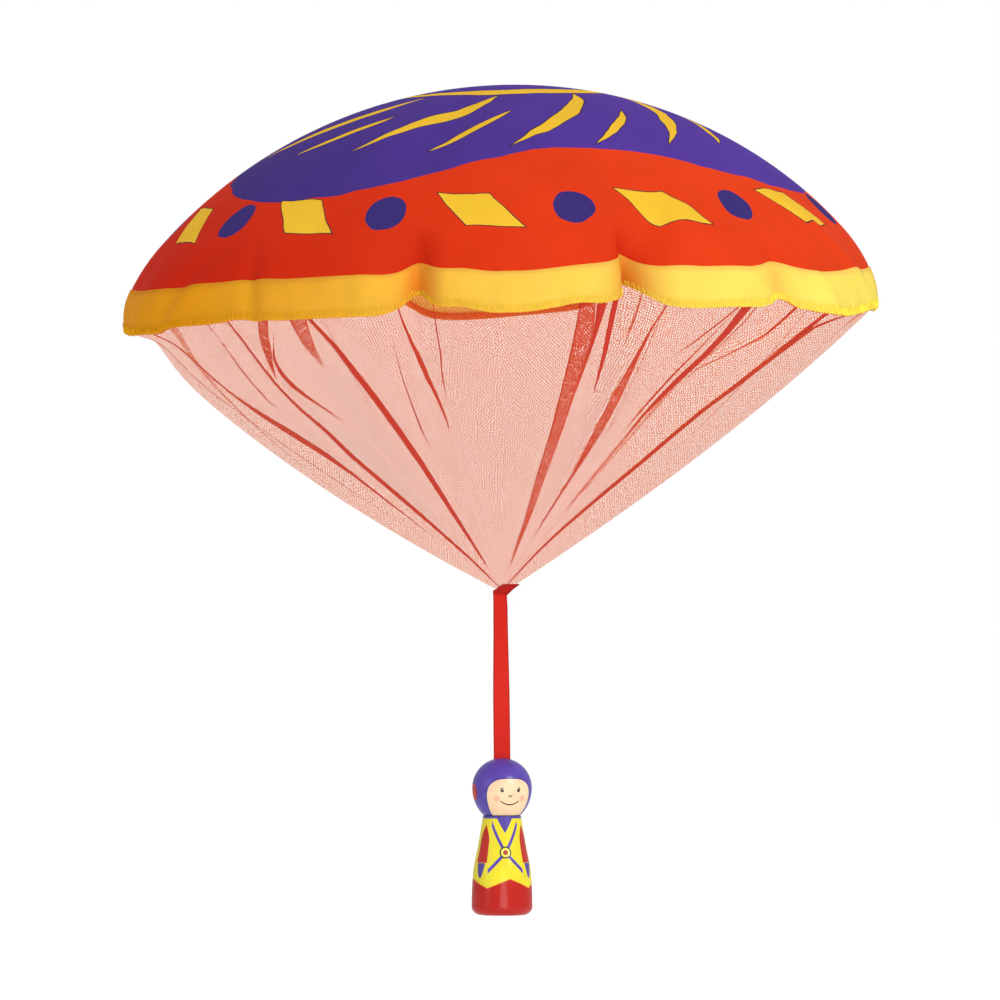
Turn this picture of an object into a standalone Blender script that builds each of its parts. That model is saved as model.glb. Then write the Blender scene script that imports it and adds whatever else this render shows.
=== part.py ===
"""Toy parachute: a round cloth canopy with a sewn rim band, a net cone gathered below it, and a wooden doll that hangs from a ribbon.

Metres, +Z up. The origin is the canopy's crown, which everything hangs from. The front is -Y and the right side is +X.
An azimuth is an angle round +Z that is zero at the front and grows towards the right side.
"""

import math

import bmesh
import bpy
import numpy as np

# Canopy: a flat circle of cloth that air holds in the shape of a dome
CANOPY_FLAT_RADIUS = 0.287
CROWN_CURVE_RADIUS = 0.275
CROWN_CURVE_LENGTH = 0.2313
SHOULDER_CURVE_RADIUS = 0.106
CLOTH_THICKNESS = 0.0008
CLOTH_COLUMNS = 72
FIELD_RING_SHARES = (0.21, 0.40, 0.575, 0.70, 0.81)
# The dome hangs a little lower on its left side: height gained for each length to the right
LEAN_SHARE = 0.0285

# Folds round the rim, where the net's gathers pull the cloth in and up: azimuth, share of the depth (a sag if
# negative), and width before and past its centre, in degrees
FOLD_PULL = 0.019
FOLD_LIFT = 0.015
FOLD_REACH = 0.110
FOLDS = (
    (-160.5, 1.0, 5.4, 8.0),
    (-133.0, 0.9, 4.5, 9.0),
    (-104.0, 0.5, 4.0, 7.0),
    (-68.0, -0.2, 10.0, 12.0),
    (-42.5, 0.12, 3.5, 5.0),
    (-13.6, 0.75, 2.8, 3.2),
    (-7.0, 0.3, 5.0, 4.0),
    (19.3, 1.2, 3.0, 3.9),
    (46.0, 0.35, 3.2, 3.2),
    (57.0, -0.33, 6.0, 11.0),
    (84.0, 0.2, 4.0, 8.0),
    (110.0, 0.7, 4.0, 9.0),
    (138.0, 0.6, 7.0, 9.0),
    (158.5, 1.25, 6.0, 5.4),
)
# The rim rises towards the back, where it sags again in the middle
BACK_RISE = 0.0098
BACK_RISE_START_DEG = 78
BACK_RISE_END_DEG = 128
BACK_SAG_SHARE = 0.42
BACK_SAG_AZIMUTH_DEG = -173
BACK_SAG_WIDTH_DEG = 13

# Rim band and the tape that joins the net to it
BAND_WIDTH = 0.025
BAND_THICKNESS = 0.0008
BAND_OVERHANG = 0.0005
TAPE_RISE = 0.0035
TAPE_OVERHANG = 0.0025
TAPE_THICKNESS = 0.0008
LAYER_GAP = 0.0005
FIT_GAP = 0.0003

# Net cone: its top edge is tucked behind the tape, its lower end is gathered flat
NET_THICKNESS = 0.0008
NET_TUCK = 0.003
NET_DROP = 0.1608
NET_BULGE = 0.0075
NET_BULGE_LEFT_SHARE = 0.33
NET_FOLD_DEPTH = 0.004
NET_RING_SHARES = (0.0, 0.17, 0.36, 0.56, 0.76, 1.0)
NECK_LENGTH = 0.012
NECK_HALF_WIDTH = 0.0053
NECK_HALF_DEPTH = 0.0036
NECK_COLUMNS = 36

# Gathered tail of the net below the neck, and the ribbon folded round it
TAIL_HALF_WIDTH = 0.0044
TAIL_DEPTH_SHARE = 0.6
TAIL_STEPS = 24
TAIL_BALL_POINTS = 6
SWAY_PIVOT_DROP = 0.0015
FOLD_TOP_DROP = 0.0022
FOLD_HEIGHT = 0.0065
RIBBON_WIDTH = 0.010
RIBBON_THICKNESS = 0.0006
RIBBON_LENGTH = 0.0905
RIBBON_EDGE_ROUNDING = 0.00015

# Doll: a turned head on a turned body, with a dowel through the neck
HEAD_RADIUS = 0.0179
HEAD_UPPER_HEIGHT = 0.0176
HEAD_LOWER_HEIGHT = 0.0212
HEAD_CURVE_POINTS = 10
NECK_RADIUS = 0.0113
BODY_RADIUS = 0.0183
BODY_HEIGHT = 0.0598
BODY_CORNER_RADIUS = 0.0054
BODY_CORNER_POINTS = 6
BODY_OUTLINE_SHARES = ((0.617, 1.0), (0.689, 0.874), (0.803, 0.673), (0.934, 0.472), (0.984, 0.271))
BODY_CURVE_POINTS = 4
TURNED_STEPS = 48
SLOT_DEPTH = 0.014
DOWEL_RADIUS = 0.004
DOWEL_DEPTH = 0.009
DOWEL_STEPS = 24
DOWEL_CHAMFER = 0.0006

# Values that every piece shares: how far a cut overruns, which points merge, and from which angle an edge is sharp
CUT_OVERRUN = 0.002
MERGE_DISTANCE = 0.00001
SHARP_ANGLE_DEG = 40.0


def material(name, colour, roughness):
    """A plain non-metal finish of one colour, given as linear red, green and blue."""
    made = bpy.data.materials.new(name)
    made.use_nodes = True
    shader = made.node_tree.nodes["Principled BSDF"]
    shader.inputs["Base Color"].default_value = (*colour, 1.0)
    shader.inputs["Roughness"].default_value = roughness
    shader.inputs["Metallic"].default_value = 0.0
    return made


def place(name, shape, finish):
    """Turns a bmesh into a named object with one finish, shaded smooth but for its sharp edges."""
    mesh = bpy.data.meshes.new(name)
    shape.normal_update()
    shape.to_mesh(mesh)
    shape.free()
    mesh.shade_smooth()
    mesh.set_sharp_from_angle(angle=math.radians(SHARP_ANGLE_DEG))
    mesh.materials.append(finish)
    made = bpy.data.objects.new(name, mesh)
    bpy.context.scene.collection.objects.link(made)
    return made


def hang(piece, pivot):
    """Parents a piece to an empty without moving it, so that it turns about that empty's axis."""
    piece.parent = pivot
    piece.matrix_parent_inverse = pivot.matrix_world.inverted()


def pivot_at(name, height, parent=None):
    """An empty on the centre line at a height, which stands for the joint there."""
    made = bpy.data.objects.new(name, None)
    bpy.context.scene.collection.objects.link(made)
    made.location = (0, 0, height)
    bpy.context.view_layer.update()
    if parent:
        hang(made, parent)
        bpy.context.view_layer.update()
    return made


def sheet(name, rings, thickness, finish, outward=0, crown=None):
    """A sheet bridged from ring to ring of points, top ring first, then thickened evenly.

    Its middle lies at a distance outward from the points. With a crown point the top ring is closed by a fan.
    """
    shape = bmesh.new()
    loops = [[shape.verts.new(point) for point in ring] for ring in rings]
    count = len(loops[0])
    for upper, lower in zip(loops, loops[1:]):
        for i in range(count):
            j = (i + 1) % count
            shape.faces.new((upper[i], lower[i], lower[j]))
            shape.faces.new((upper[i], lower[j], upper[j]))
    if crown is not None:
        top = shape.verts.new(crown)
        for i in range(count):
            shape.faces.new((top, loops[0][i], loops[0][(i + 1) % count]))
    made = place(name, shape, finish)
    wall = made.modifiers.new("wall", "SOLIDIFY")
    wall.thickness = thickness
    wall.offset = 2 * outward / thickness
    wall.use_even_offset = True
    return made


def turned(name, outline, steps, finish):
    """A solid turned about the centre line from an outline of (radius, height), top to bottom on its outer side."""
    shape = bmesh.new()
    line = [shape.verts.new((radius, 0, height)) for radius, height in outline]
    for upper, lower in zip(line, line[1:]):
        shape.edges.new((upper, lower))
    made = place(name, shape, finish)
    turn = made.modifiers.new("turn", "SCREW")
    turn.steps = steps
    turn.render_steps = steps
    turn.use_merge_vertices = True
    turn.merge_threshold = MERGE_DISTANCE
    turn.use_smooth_shade = True
    return made


def block(name, width, depth, bottom, top, finish):
    """A box about the centre line between two heights."""
    shape = bmesh.new()
    bmesh.ops.create_cube(shape, size=1)
    bmesh.ops.scale(shape, vec=(width, depth, top - bottom), verts=shape.verts)
    bmesh.ops.translate(shape, vec=(0, 0, (top + bottom) / 2), verts=shape.verts)
    return place(name, shape, finish)


def cut(piece, cutter):
    """Takes a hidden cutter out of a piece."""
    cutter.hide_render = True
    cutter.display_type = "WIRE"
    boolean = piece.modifiers.new(cutter.name, "BOOLEAN")
    boolean.operation = "DIFFERENCE"
    boolean.solver = "EXACT"
    boolean.object = cutter


def smooth_line(points, steps):
    """A curve through all the points (Catmull-Rom), with a number of steps for each stretch."""
    points = np.array(points, float)
    ends = np.vstack([2 * points[0] - points[1], points, 2 * points[-1] - points[-2]])
    t = np.arange(steps)[:, None] / steps
    runs = []
    for before, start, end, after in zip(ends, ends[1:], ends[2:], ends[3:]):
        runs.append(
            start
            + t * (end - before) / 2
            + t**2 * (2 * before - 5 * start + 4 * end - after) / 2
            + t**3 * (3 * start - before - 3 * end + after) / 2
        )
    return np.vstack([*runs, points[-1:]])


def meridian(arc):
    """Radius and height of the smooth dome at a length of cloth from the crown: a wide arc, then a tighter one."""
    turn = CROWN_CURVE_LENGTH / CROWN_CURVE_RADIUS
    crown = np.minimum(arc, CROWN_CURVE_LENGTH) / CROWN_CURVE_RADIUS
    shoulder = turn + np.maximum(arc - CROWN_CURVE_LENGTH, 0) / SHOULDER_CURVE_RADIUS
    radius = CROWN_CURVE_RADIUS * np.sin(crown)
    radius = radius + SHOULDER_CURVE_RADIUS * (np.sin(shoulder) - math.sin(turn))
    height = CROWN_CURVE_RADIUS * (np.cos(crown) - 1)
    height = height + SHOULDER_CURVE_RADIUS * (np.cos(shoulder) - math.cos(turn))
    return radius, height


def turned_from(azimuth, centre_deg):
    """How many degrees an azimuth lies past a centre, from -180 to 180."""
    return (np.degrees(azimuth) - centre_deg + 180) % 360 - 180


def folding(azimuth):
    """How deep the cloth is folded in at an azimuth, 0 to about 1: one notch a fold, steeper on one side of it."""
    depth = 0
    for place_deg, share, before_deg, past_deg in FOLDS:
        away = turned_from(azimuth, place_deg)
        width = np.where(away < 0, before_deg, past_deg)
        depth = depth + share * np.exp(-((away / width) ** 2))
    return depth


def back_rise(azimuth):
    """How far the rim hangs higher at an azimuth: it rises smoothly towards the back and sags round one place there."""
    share = np.abs(turned_from(azimuth, 0)) - BACK_RISE_START_DEG
    share = np.clip(share / (BACK_RISE_END_DEG - BACK_RISE_START_DEG), 0, 1)
    sag = np.exp(-((turned_from(azimuth, BACK_SAG_AZIMUTH_DEG) / BACK_SAG_WIDTH_DEG) ** 2))
    return BACK_RISE * share**2 * (3 - 2 * share) * (1 - BACK_SAG_SHARE * sag)


def canopy_ring(azimuth, arc):
    """Points in the middle of the canopy's cloth: the smooth dome, folded in and up towards the rim, and leaning."""
    radius, height = meridian(arc)
    start = CANOPY_FLAT_RADIUS - FOLD_REACH
    near_rim = np.clip((arc - start) / FOLD_REACH, 0, None) ** 2
    radius = radius - FOLD_PULL * folding(azimuth) * near_rim
    height = height + (FOLD_LIFT * folding(azimuth) + back_rise(azimuth)) * near_rim - CLOTH_THICKNESS / 2
    x = radius * np.sin(azimuth)
    y = -radius * np.cos(azimuth)
    return np.stack([x, y, height + LEAN_SHARE * x], -1)


def edge_ring(azimuth, past):
    """Points on the cloth's last straight stretch or past its edge, in line with the ring half way up the band."""
    middle = canopy_ring(azimuth, CANOPY_FLAT_RADIUS - BAND_WIDTH / 2)
    edge = canopy_ring(azimuth, CANOPY_FLAT_RADIUS)
    return edge + (edge - middle) * past / (BAND_WIDTH / 2)


def inside_edge(azimuth, past, inset):
    """The edge ring moved in by an inset from both flat faces that meet at each of its points."""
    middle = canopy_ring(azimuth, CANOPY_FLAT_RADIUS - BAND_WIDTH / 2)
    edge = canopy_ring(azimuth, CANOPY_FLAT_RADIUS)
    after = np.cross(edge - middle, np.roll(edge, -1, 0) - edge)
    after /= np.linalg.norm(after, axis=-1, keepdims=True)
    before = np.roll(after, 1, 0)
    meet = 1 + (before * after).sum(-1, keepdims=True)
    return edge_ring(azimuth, past) - inset * (before + after) / meet


def round_azimuths(count):
    """Equal azimuths all the way round."""
    return np.arange(count) * 2 * math.pi / count


def oval(azimuth, half_width, half_depth, height):
    """Points of a level ellipse about the centre line."""
    x = half_width * np.sin(azimuth)
    y = -half_depth * np.cos(azimuth)
    return np.stack([x, y, np.full_like(x, height)], -1)


# The tape and the net lie inside the cloth, a layer's gap from each other
TAPE_INSET = CLOTH_THICKNESS / 2 + LAYER_GAP + TAPE_THICKNESS / 2
NET_INSET = TAPE_INSET + TAPE_THICKNESS / 2 + LAYER_GAP + NET_THICKNESS / 2
RIM_RADIUS, RIM_HEIGHT = (float(v) for v in meridian(CANOPY_FLAT_RADIUS))
NECK_BOTTOM = RIM_HEIGHT - NET_DROP


def net_point(azimuth, share):
    """A point of the net between the rim, share 0, and the neck's lower end, share 1.

    It runs straight between the two, bulging outward most half way, and more on the left side,
    and the rim's folds run down into it.
    """
    top = inside_edge(azimuth, BAND_OVERHANG, NET_INSET)
    end = oval(azimuth, NECK_HALF_WIDTH, NECK_HALF_DEPTH, NECK_BOTTOM)
    slope = math.atan2(NET_DROP, RIM_RADIUS - NECK_HALF_WIDTH)
    out = np.stack([np.sin(azimuth), -np.cos(azimuth)], -1) * math.sin(slope)
    belly = 4 * share * (1 - share)
    bulge = NET_BULGE * belly * (1 - NET_BULGE_LEFT_SHARE * np.sin(azimuth))
    bulge = bulge - NET_FOLD_DEPTH * belly * folding(azimuth)
    point = top + share * (end - top)
    point[:, :2] += out * bulge[:, None]
    point[:, 2] -= math.cos(slope) * bulge
    return point


# Heights of the pieces that hang below the neck, each from the one above it
SWAY_PIVOT = NECK_BOTTOM - SWAY_PIVOT_DROP
FOLD_TOP = SWAY_PIVOT - FOLD_TOP_DROP
FOLD_BOTTOM = FOLD_TOP - FOLD_HEIGHT
SWING_PIVOT = FOLD_BOTTOM - (RIBBON_THICKNESS + FIT_GAP) / 2
RIBBON_TOP = SWING_PIVOT - FIT_GAP
RIBBON_BOTTOM = RIBBON_TOP - RIBBON_LENGTH
TWIST_PIVOT = (RIBBON_TOP + RIBBON_BOTTOM) / 2
TIP_PIVOT = RIBBON_BOTTOM - FIT_GAP
HEAD_TOP = TIP_PIVOT - (RIBBON_THICKNESS + FIT_GAP) / 2
HEAD_MIDDLE = HEAD_TOP - HEAD_UPPER_HEIGHT
HEAD_CUT_ANGLE = math.acos(NECK_RADIUS / HEAD_RADIUS)
HEAD_BOTTOM = HEAD_MIDDLE - HEAD_LOWER_HEIGHT * math.sin(HEAD_CUT_ANGLE)
BODY_TOP = HEAD_BOTTOM - FIT_GAP
BODY_BOTTOM = BODY_TOP - BODY_HEIGHT


def clear_scene():
    for old in list(bpy.data.objects):
        bpy.data.objects.remove(old)


def build_canopy(finish):
    """The dome of cloth: rings down to the band, then the part that the band covers."""
    azimuth = round_azimuths(CLOTH_COLUMNS)
    arcs = [share * CANOPY_FLAT_RADIUS for share in FIELD_RING_SHARES]
    arcs += [CANOPY_FLAT_RADIUS - BAND_WIDTH, CANOPY_FLAT_RADIUS - BAND_WIDTH / 2, CANOPY_FLAT_RADIUS]
    rings = [canopy_ring(azimuth, arc) for arc in arcs]
    sheet("canopy_cloth", rings, CLOTH_THICKNESS, finish, crown=(0, 0, -CLOTH_THICKNESS / 2))


def build_band(finish):
    """The band sewn round the outside of the canopy's edge."""
    azimuth = round_azimuths(CLOTH_COLUMNS)
    arcs = (CANOPY_FLAT_RADIUS - BAND_WIDTH, CANOPY_FLAT_RADIUS - BAND_WIDTH / 2)
    rings = [canopy_ring(azimuth, arc) for arc in arcs]
    rings.append(edge_ring(azimuth, BAND_OVERHANG))
    outward = CLOTH_THICKNESS / 2 + LAYER_GAP + BAND_THICKNESS / 2
    sheet("rim_band", rings, BAND_THICKNESS, finish, outward=outward)


def build_tape(finish):
    """The tape inside the edge, which shows a little below the band."""
    azimuth = round_azimuths(CLOTH_COLUMNS)
    rings = [edge_ring(azimuth, past) for past in (-TAPE_RISE, TAPE_OVERHANG)]
    sheet("net_seam_tape", rings, TAPE_THICKNESS, finish, outward=-TAPE_INSET)


def build_net(finish):
    """The net cone, and the neck where its gathers come together."""
    azimuth = round_azimuths(CLOTH_COLUMNS)
    slant = math.hypot(NET_DROP, RIM_RADIUS - NECK_HALF_WIDTH)
    cone_end = 1 - NECK_LENGTH / slant
    rings = [inside_edge(azimuth, -NET_TUCK, NET_INSET)]
    rings += [net_point(azimuth, share * cone_end) for share in NET_RING_SHARES]
    sheet("net_cone", rings, NET_THICKNESS, finish)
    neck_start = cone_end + FIT_GAP / slant
    azimuth = round_azimuths(NECK_COLUMNS)
    rings = [net_point(azimuth, share) for share in (neck_start, (neck_start + 1) / 2, 1)]
    return sheet("net_neck", rings, NET_THICKNESS, finish)


def build_tail(finish):
    """The gathered net inside the ribbon's fold: a flattened rod with a ball end that the fold sways about."""
    angles = np.arange(1, TAIL_BALL_POINTS + 1) / TAIL_BALL_POINTS * math.pi / 2
    bottom = FOLD_BOTTOM + FIT_GAP
    ball = [(TAIL_HALF_WIDTH * math.sin(a), SWAY_PIVOT + TAIL_HALF_WIDTH * math.cos(a)) for a in angles]
    outline = [(0, SWAY_PIVOT + TAIL_HALF_WIDTH), *ball, (TAIL_HALF_WIDTH, bottom), (0, bottom)]
    shape = bmesh.new()
    line = [shape.verts.new((radius, 0, height)) for radius, height in outline]
    edges = [shape.edges.new(pair) for pair in zip(line, line[1:])]
    bmesh.ops.spin(
        shape,
        geom=line + edges,
        axis=(0, 0, 1),
        cent=(0, 0, 0),
        angle=2 * math.pi,
        steps=TAIL_STEPS,
        use_merge=True,
    )
    bmesh.ops.remove_doubles(shape, verts=shape.verts, dist=MERGE_DISTANCE)
    bmesh.ops.scale(shape, vec=(1, TAIL_DEPTH_SHARE, 1), verts=shape.verts)
    bmesh.ops.recalc_face_normals(shape, faces=shape.faces)
    return place("net_tail", shape, finish)


def build_ribbon(finish):
    """The ribbon, from its fold round the net's tail down to the folded end that is glued into the head."""
    wall = 2 * RIBBON_THICKNESS
    azimuth = round_azimuths(TAIL_STEPS)
    half_width = TAIL_HALF_WIDTH + FIT_GAP + wall / 2
    half_depth = TAIL_HALF_WIDTH * TAIL_DEPTH_SHARE + FIT_GAP + wall / 2
    rings = [oval(azimuth, half_width, half_depth, height) for height in (FOLD_TOP, FOLD_BOTTOM)]
    fold = sheet("ribbon_fold", rings, wall, finish)
    stretches = (
        ("ribbon_upper", RIBBON_TOP, TWIST_PIVOT + FIT_GAP / 2),
        ("ribbon_lower", TWIST_PIVOT - FIT_GAP / 2, RIBBON_BOTTOM),
    )
    strips = []
    for name, top, bottom in stretches:
        strip = block(name, RIBBON_WIDTH, RIBBON_THICKNESS, bottom, top, finish)
        edge = strip.modifiers.new("woven edge", "BEVEL")
        edge.width = RIBBON_EDGE_ROUNDING
        edge.segments = 1
        strips.append(strip)
    end_top = TIP_PIVOT - RIBBON_THICKNESS / 2 - FIT_GAP
    end_bottom = HEAD_TOP - SLOT_DEPTH + FIT_GAP
    end = block("ribbon_end", RIBBON_WIDTH, wall, end_bottom, end_top, finish)
    return fold, *strips, end


def build_head(finish):
    """The turned head: round above, longer towards the chin, with a sawn slot in its top and a bore below."""
    upper = np.arange(HEAD_CURVE_POINTS) / HEAD_CURVE_POINTS * math.pi / 2
    lower = np.arange(HEAD_CURVE_POINTS + 1) / HEAD_CURVE_POINTS * HEAD_CUT_ANGLE
    outline = [(HEAD_RADIUS * math.sin(a), HEAD_MIDDLE + HEAD_UPPER_HEIGHT * math.cos(a)) for a in upper]
    outline += [(HEAD_RADIUS * math.cos(a), HEAD_MIDDLE - HEAD_LOWER_HEIGHT * math.sin(a)) for a in lower]
    outline.append((0, HEAD_BOTTOM))
    head = turned("doll_head", outline, TURNED_STEPS, finish)
    slot_width = RIBBON_WIDTH + 2 * FIT_GAP
    slot_depth = 2 * RIBBON_THICKNESS + 2 * FIT_GAP
    slot_floor = HEAD_TOP - SLOT_DEPTH
    cut(head, block("slot_cutter", slot_width, slot_depth, slot_floor, HEAD_TOP + CUT_OVERRUN, finish))
    cut(head, bore_cutter("head_bore_cutter", HEAD_BOTTOM + DOWEL_DEPTH, HEAD_BOTTOM - CUT_OVERRUN, finish))
    return head


def build_body(finish):
    """The turned body: a neck that widens to a rounded foot with a flat base, and a bore for the dowel."""
    line = [(r * BODY_RADIUS, BODY_BOTTOM + h * BODY_HEIGHT) for r, h in BODY_OUTLINE_SHARES]
    corner_height = BODY_BOTTOM + BODY_CORNER_RADIUS
    side = smooth_line([*line, (BODY_RADIUS, corner_height)], BODY_CURVE_POINTS)
    angles = np.arange(1, BODY_CORNER_POINTS + 1) / BODY_CORNER_POINTS * math.pi / 2
    inset = BODY_RADIUS - BODY_CORNER_RADIUS
    foot = [
        (inset + BODY_CORNER_RADIUS * math.cos(a), corner_height - BODY_CORNER_RADIUS * math.sin(a))
        for a in angles
    ]
    outline = [(0, BODY_TOP), *side, *foot, (0, BODY_BOTTOM)]
    body = turned("doll_body", outline, TURNED_STEPS, finish)
    cut(body, bore_cutter("body_bore_cutter", BODY_TOP + CUT_OVERRUN, BODY_TOP - DOWEL_DEPTH, finish))
    return body


def bore_cutter(name, top, bottom, finish):
    """A rod that leaves the dowel its fit gap."""
    radius = DOWEL_RADIUS + FIT_GAP
    return turned(name, [(0, top), (radius, top), (radius, bottom), (0, bottom)], DOWEL_STEPS, finish)


def build_dowel(finish):
    """The wooden pin glued into head and body."""
    top = HEAD_BOTTOM + DOWEL_DEPTH - FIT_GAP
    bottom = BODY_TOP - DOWEL_DEPTH + FIT_GAP
    narrow = DOWEL_RADIUS - DOWEL_CHAMFER
    outline = [(0, top), (narrow, top), (DOWEL_RADIUS, top - DOWEL_CHAMFER)]
    outline += [(DOWEL_RADIUS, bottom + DOWEL_CHAMFER), (narrow, bottom), (0, bottom)]
    return turned("neck_dowel", outline, DOWEL_STEPS, finish)


def build():
    clear_scene()
    cloth = material("printed_cloth", (0.79, 0.04, 0.01), 0.75)
    band = material("rim_band_cloth", (1.0, 0.62, 0.05), 0.75)
    tape = material("net_seam_tape", (0.70, 0.09, 0.03), 0.8)
    net = material("red_net", (0.75, 0.09, 0.05), 0.8)
    ribbon = material("red_ribbon", (0.75, 0.03, 0.015), 0.55)
    head_paint = material("head_paint", (0.11, 0.07, 0.40), 0.25)
    body_paint = material("body_paint", (0.83, 0.75, 0.05), 0.25)
    wood = material("beech", (0.62, 0.40, 0.22), 0.6)

    build_canopy(cloth)
    build_band(band)
    build_tape(tape)
    throat = pivot_at("throat_axis", NECK_BOTTOM)
    hang(build_net(net), throat)
    sway = pivot_at("ribbon_sway_axis", SWAY_PIVOT, throat)
    swing = pivot_at("ribbon_swing_axis", SWING_PIVOT, sway)
    twist = pivot_at("ribbon_twist_axis", TWIST_PIVOT, swing)
    tip = pivot_at("doll_tip_axis", TIP_PIVOT, twist)
    fold, upper, lower, end = build_ribbon(ribbon)
    hang(build_tail(net), sway)
    hang(fold, sway)
    hang(upper, swing)
    hang(lower, twist)
    for piece in (end, build_head(head_paint), build_dowel(wood), build_body(body_paint)):
        hang(piece, tip)


build()
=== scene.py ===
"""Toy parachute: the looks of its cloth canopy, net, ribbon and painted wooden doll, round its solids.

Metres, +Z up. The origin is the canopy's crown and the front is -Y. An azimuth is an angle round +Z that is
zero at the front and grows towards the right side.
"""

import math

import bpy
import numpy as np
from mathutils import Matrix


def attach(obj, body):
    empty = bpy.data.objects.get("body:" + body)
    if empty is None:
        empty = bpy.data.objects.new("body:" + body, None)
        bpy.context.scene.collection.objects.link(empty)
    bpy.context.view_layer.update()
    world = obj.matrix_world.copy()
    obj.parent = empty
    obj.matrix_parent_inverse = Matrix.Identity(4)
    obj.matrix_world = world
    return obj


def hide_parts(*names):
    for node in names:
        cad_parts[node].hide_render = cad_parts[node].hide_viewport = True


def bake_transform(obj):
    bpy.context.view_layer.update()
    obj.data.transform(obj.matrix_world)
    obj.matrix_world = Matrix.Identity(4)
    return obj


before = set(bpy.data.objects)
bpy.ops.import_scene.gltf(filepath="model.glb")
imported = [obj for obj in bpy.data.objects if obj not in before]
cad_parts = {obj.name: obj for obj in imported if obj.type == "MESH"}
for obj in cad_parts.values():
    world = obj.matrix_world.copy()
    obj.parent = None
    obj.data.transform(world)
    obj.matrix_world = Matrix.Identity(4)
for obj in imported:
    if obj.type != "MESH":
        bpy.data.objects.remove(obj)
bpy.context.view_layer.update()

# Canopy: one flat circle of thin polyester satin, printed on its outer side. Air holds it as a dome, and
# the net sewn round its edge draws it in, so that folds run up from the rim, steep on one side and easy
# on the other.
CANOPY_FLAT_RADIUS = 0.287
CROWN_CURVE_RADIUS = 0.275
CROWN_CURVE_LENGTH = 0.2313
SHOULDER_CURVE_RADIUS = 0.106
LEAN_SHARE = 0.0285
CLOTH_THICKNESS = 0.0003
BAND_WIDTH = 0.025
HEM_HIDDEN = 0.003
FOLD_PULL = 0.019
FOLD_LIFT = 0.015
FOLD_REACH = 0.110
# Each fold: azimuth, share of the depth (a sag if negative), width before and past its centre, and how
# far the lip before it leans over it, all but the share in degrees
FOLDS = np.array(
    [
        (-160.5, 1.0, 5.4, 8.0, 1.4),
        (-133.0, 0.9, 4.5, 9.0, 1.5),
        (-104.0, 0.5, 4.0, 7.0, 1.0),
        (-68.0, -0.2, 10.0, 12.0, 0.0),
        (-42.5, 0.12, 3.5, 5.0, 0.0),
        (-13.6, 0.85, 2.8, 3.2, 0.9),
        (-7.0, 0.3, 5.0, 4.0, 0.0),
        (12.5, 0.27, 7.0, 5.0, 0.0),
        (19.3, 1.15, 3.0, 3.9, 2.2),
        (46.0, 0.35, 3.2, 3.2, 0.5),
        (57.0, -0.33, 6.0, 11.0, 0.0),
        (84.0, 0.2, 4.0, 8.0, 0.4),
        (110.0, 0.7, 4.0, 9.0, 1.4),
        (138.0, 0.6, 7.0, 9.0, 1.0),
        (158.5, 1.25, 6.0, 5.4, 1.4),
    ]
)
LIP_WIDTH_DEG = 1.7
LIP_PLACE_DEG = -2.5
# The rim rises towards the back, where it sags again in the middle
BACK_RISE = 0.0098
BACK_RISE_START_DEG = 78
BACK_RISE_END_DEG = 128
BACK_SAG_SHARE = 0.42
BACK_SAG_AZIMUTH_DEG = -173
BACK_SAG_WIDTH_DEG = 13
# Creases in the cloth: azimuth and length of cloth from the crown at both ends, width, and depth, which
# is negative for a ridge
CREASES = (
    (18.5, 0.287, 29.5, 0.188, 0.012, 0.0075),
    (27.0, 0.270, 35.0, 0.188, 0.012, -0.0030),
    (11.5, 0.285, 22.0, 0.205, 0.011, -0.0022),
    (-12.5, 0.287, -17.5, 0.205, 0.014, 0.0045),
    (-20.5, 0.280, -22.0, 0.225, 0.011, -0.0018),
    (-39.0, 0.292, -45.5, 0.215, 0.006, 0.0024),
    (-62.0, 0.280, -47.0, 0.218, 0.012, 0.0030),
    (-37.5, 0.280, -39.0, 0.215, 0.010, -0.0010),
    (-17.0, 0.160, -9.0, 0.050, 0.014, 0.0026),
    (-30.0, 0.150, -22.0, 0.060, 0.012, -0.0012),
    (8.0, 0.150, -4.0, 0.070, 0.012, -0.0009),
    (50.0, 0.292, 46.0, 0.262, 0.005, 0.0020),
    (58.0, 0.292, 55.0, 0.200, 0.014, -0.0018),
    (72.0, 0.292, 52.0, 0.170, 0.010, -0.0036),
    (60.0, 0.280, 44.0, 0.190, 0.012, 0.0022),
    (77.0, 0.285, 70.0, 0.200, 0.009, 0.0018),
    (36.0, 0.290, 35.0, 0.215, 0.016, -0.0016),
    (3.0, 0.292, 6.0, 0.235, 0.014, 0.0012),
    (-27.0, 0.292, -26.0, 0.230, 0.018, -0.0014),
    (-56.0, 0.292, -52.0, 0.215, 0.014, -0.0016),
    (-80.0, 0.292, -70.0, 0.205, 0.014, 0.0016),
    (96.0, 0.290, 90.0, 0.200, 0.014, 0.0018),
    (125.0, 0.292, 120.0, 0.210, 0.016, -0.0020),
    (152.0, 0.292, 150.0, 0.220, 0.014, 0.0018),
    (-150.0, 0.292, -148.0, 0.215, 0.015, -0.0018),
    (-113.0, 0.290, -108.0, 0.200, 0.014, 0.0018),
)
# At both sides the rim's edge curls in: how far on the left and right, over what cloth and what angle
CURL_LEFT = 0.0048
CURL_RIGHT = 0.0028
CURL_CLOTH = 0.022
CURL_WIDTH_DEG = 26
RUFFLE_HEIGHT = 0.0007
RUFFLE_START = 0.225
RIM_SLOPE = 1.2
FOLD_CROWDING = 2.6
FOLD_CROWDING_DEG = 5.0
CLOTH_COLUMNS = 470
CLOTH_ROWS = 92


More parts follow.
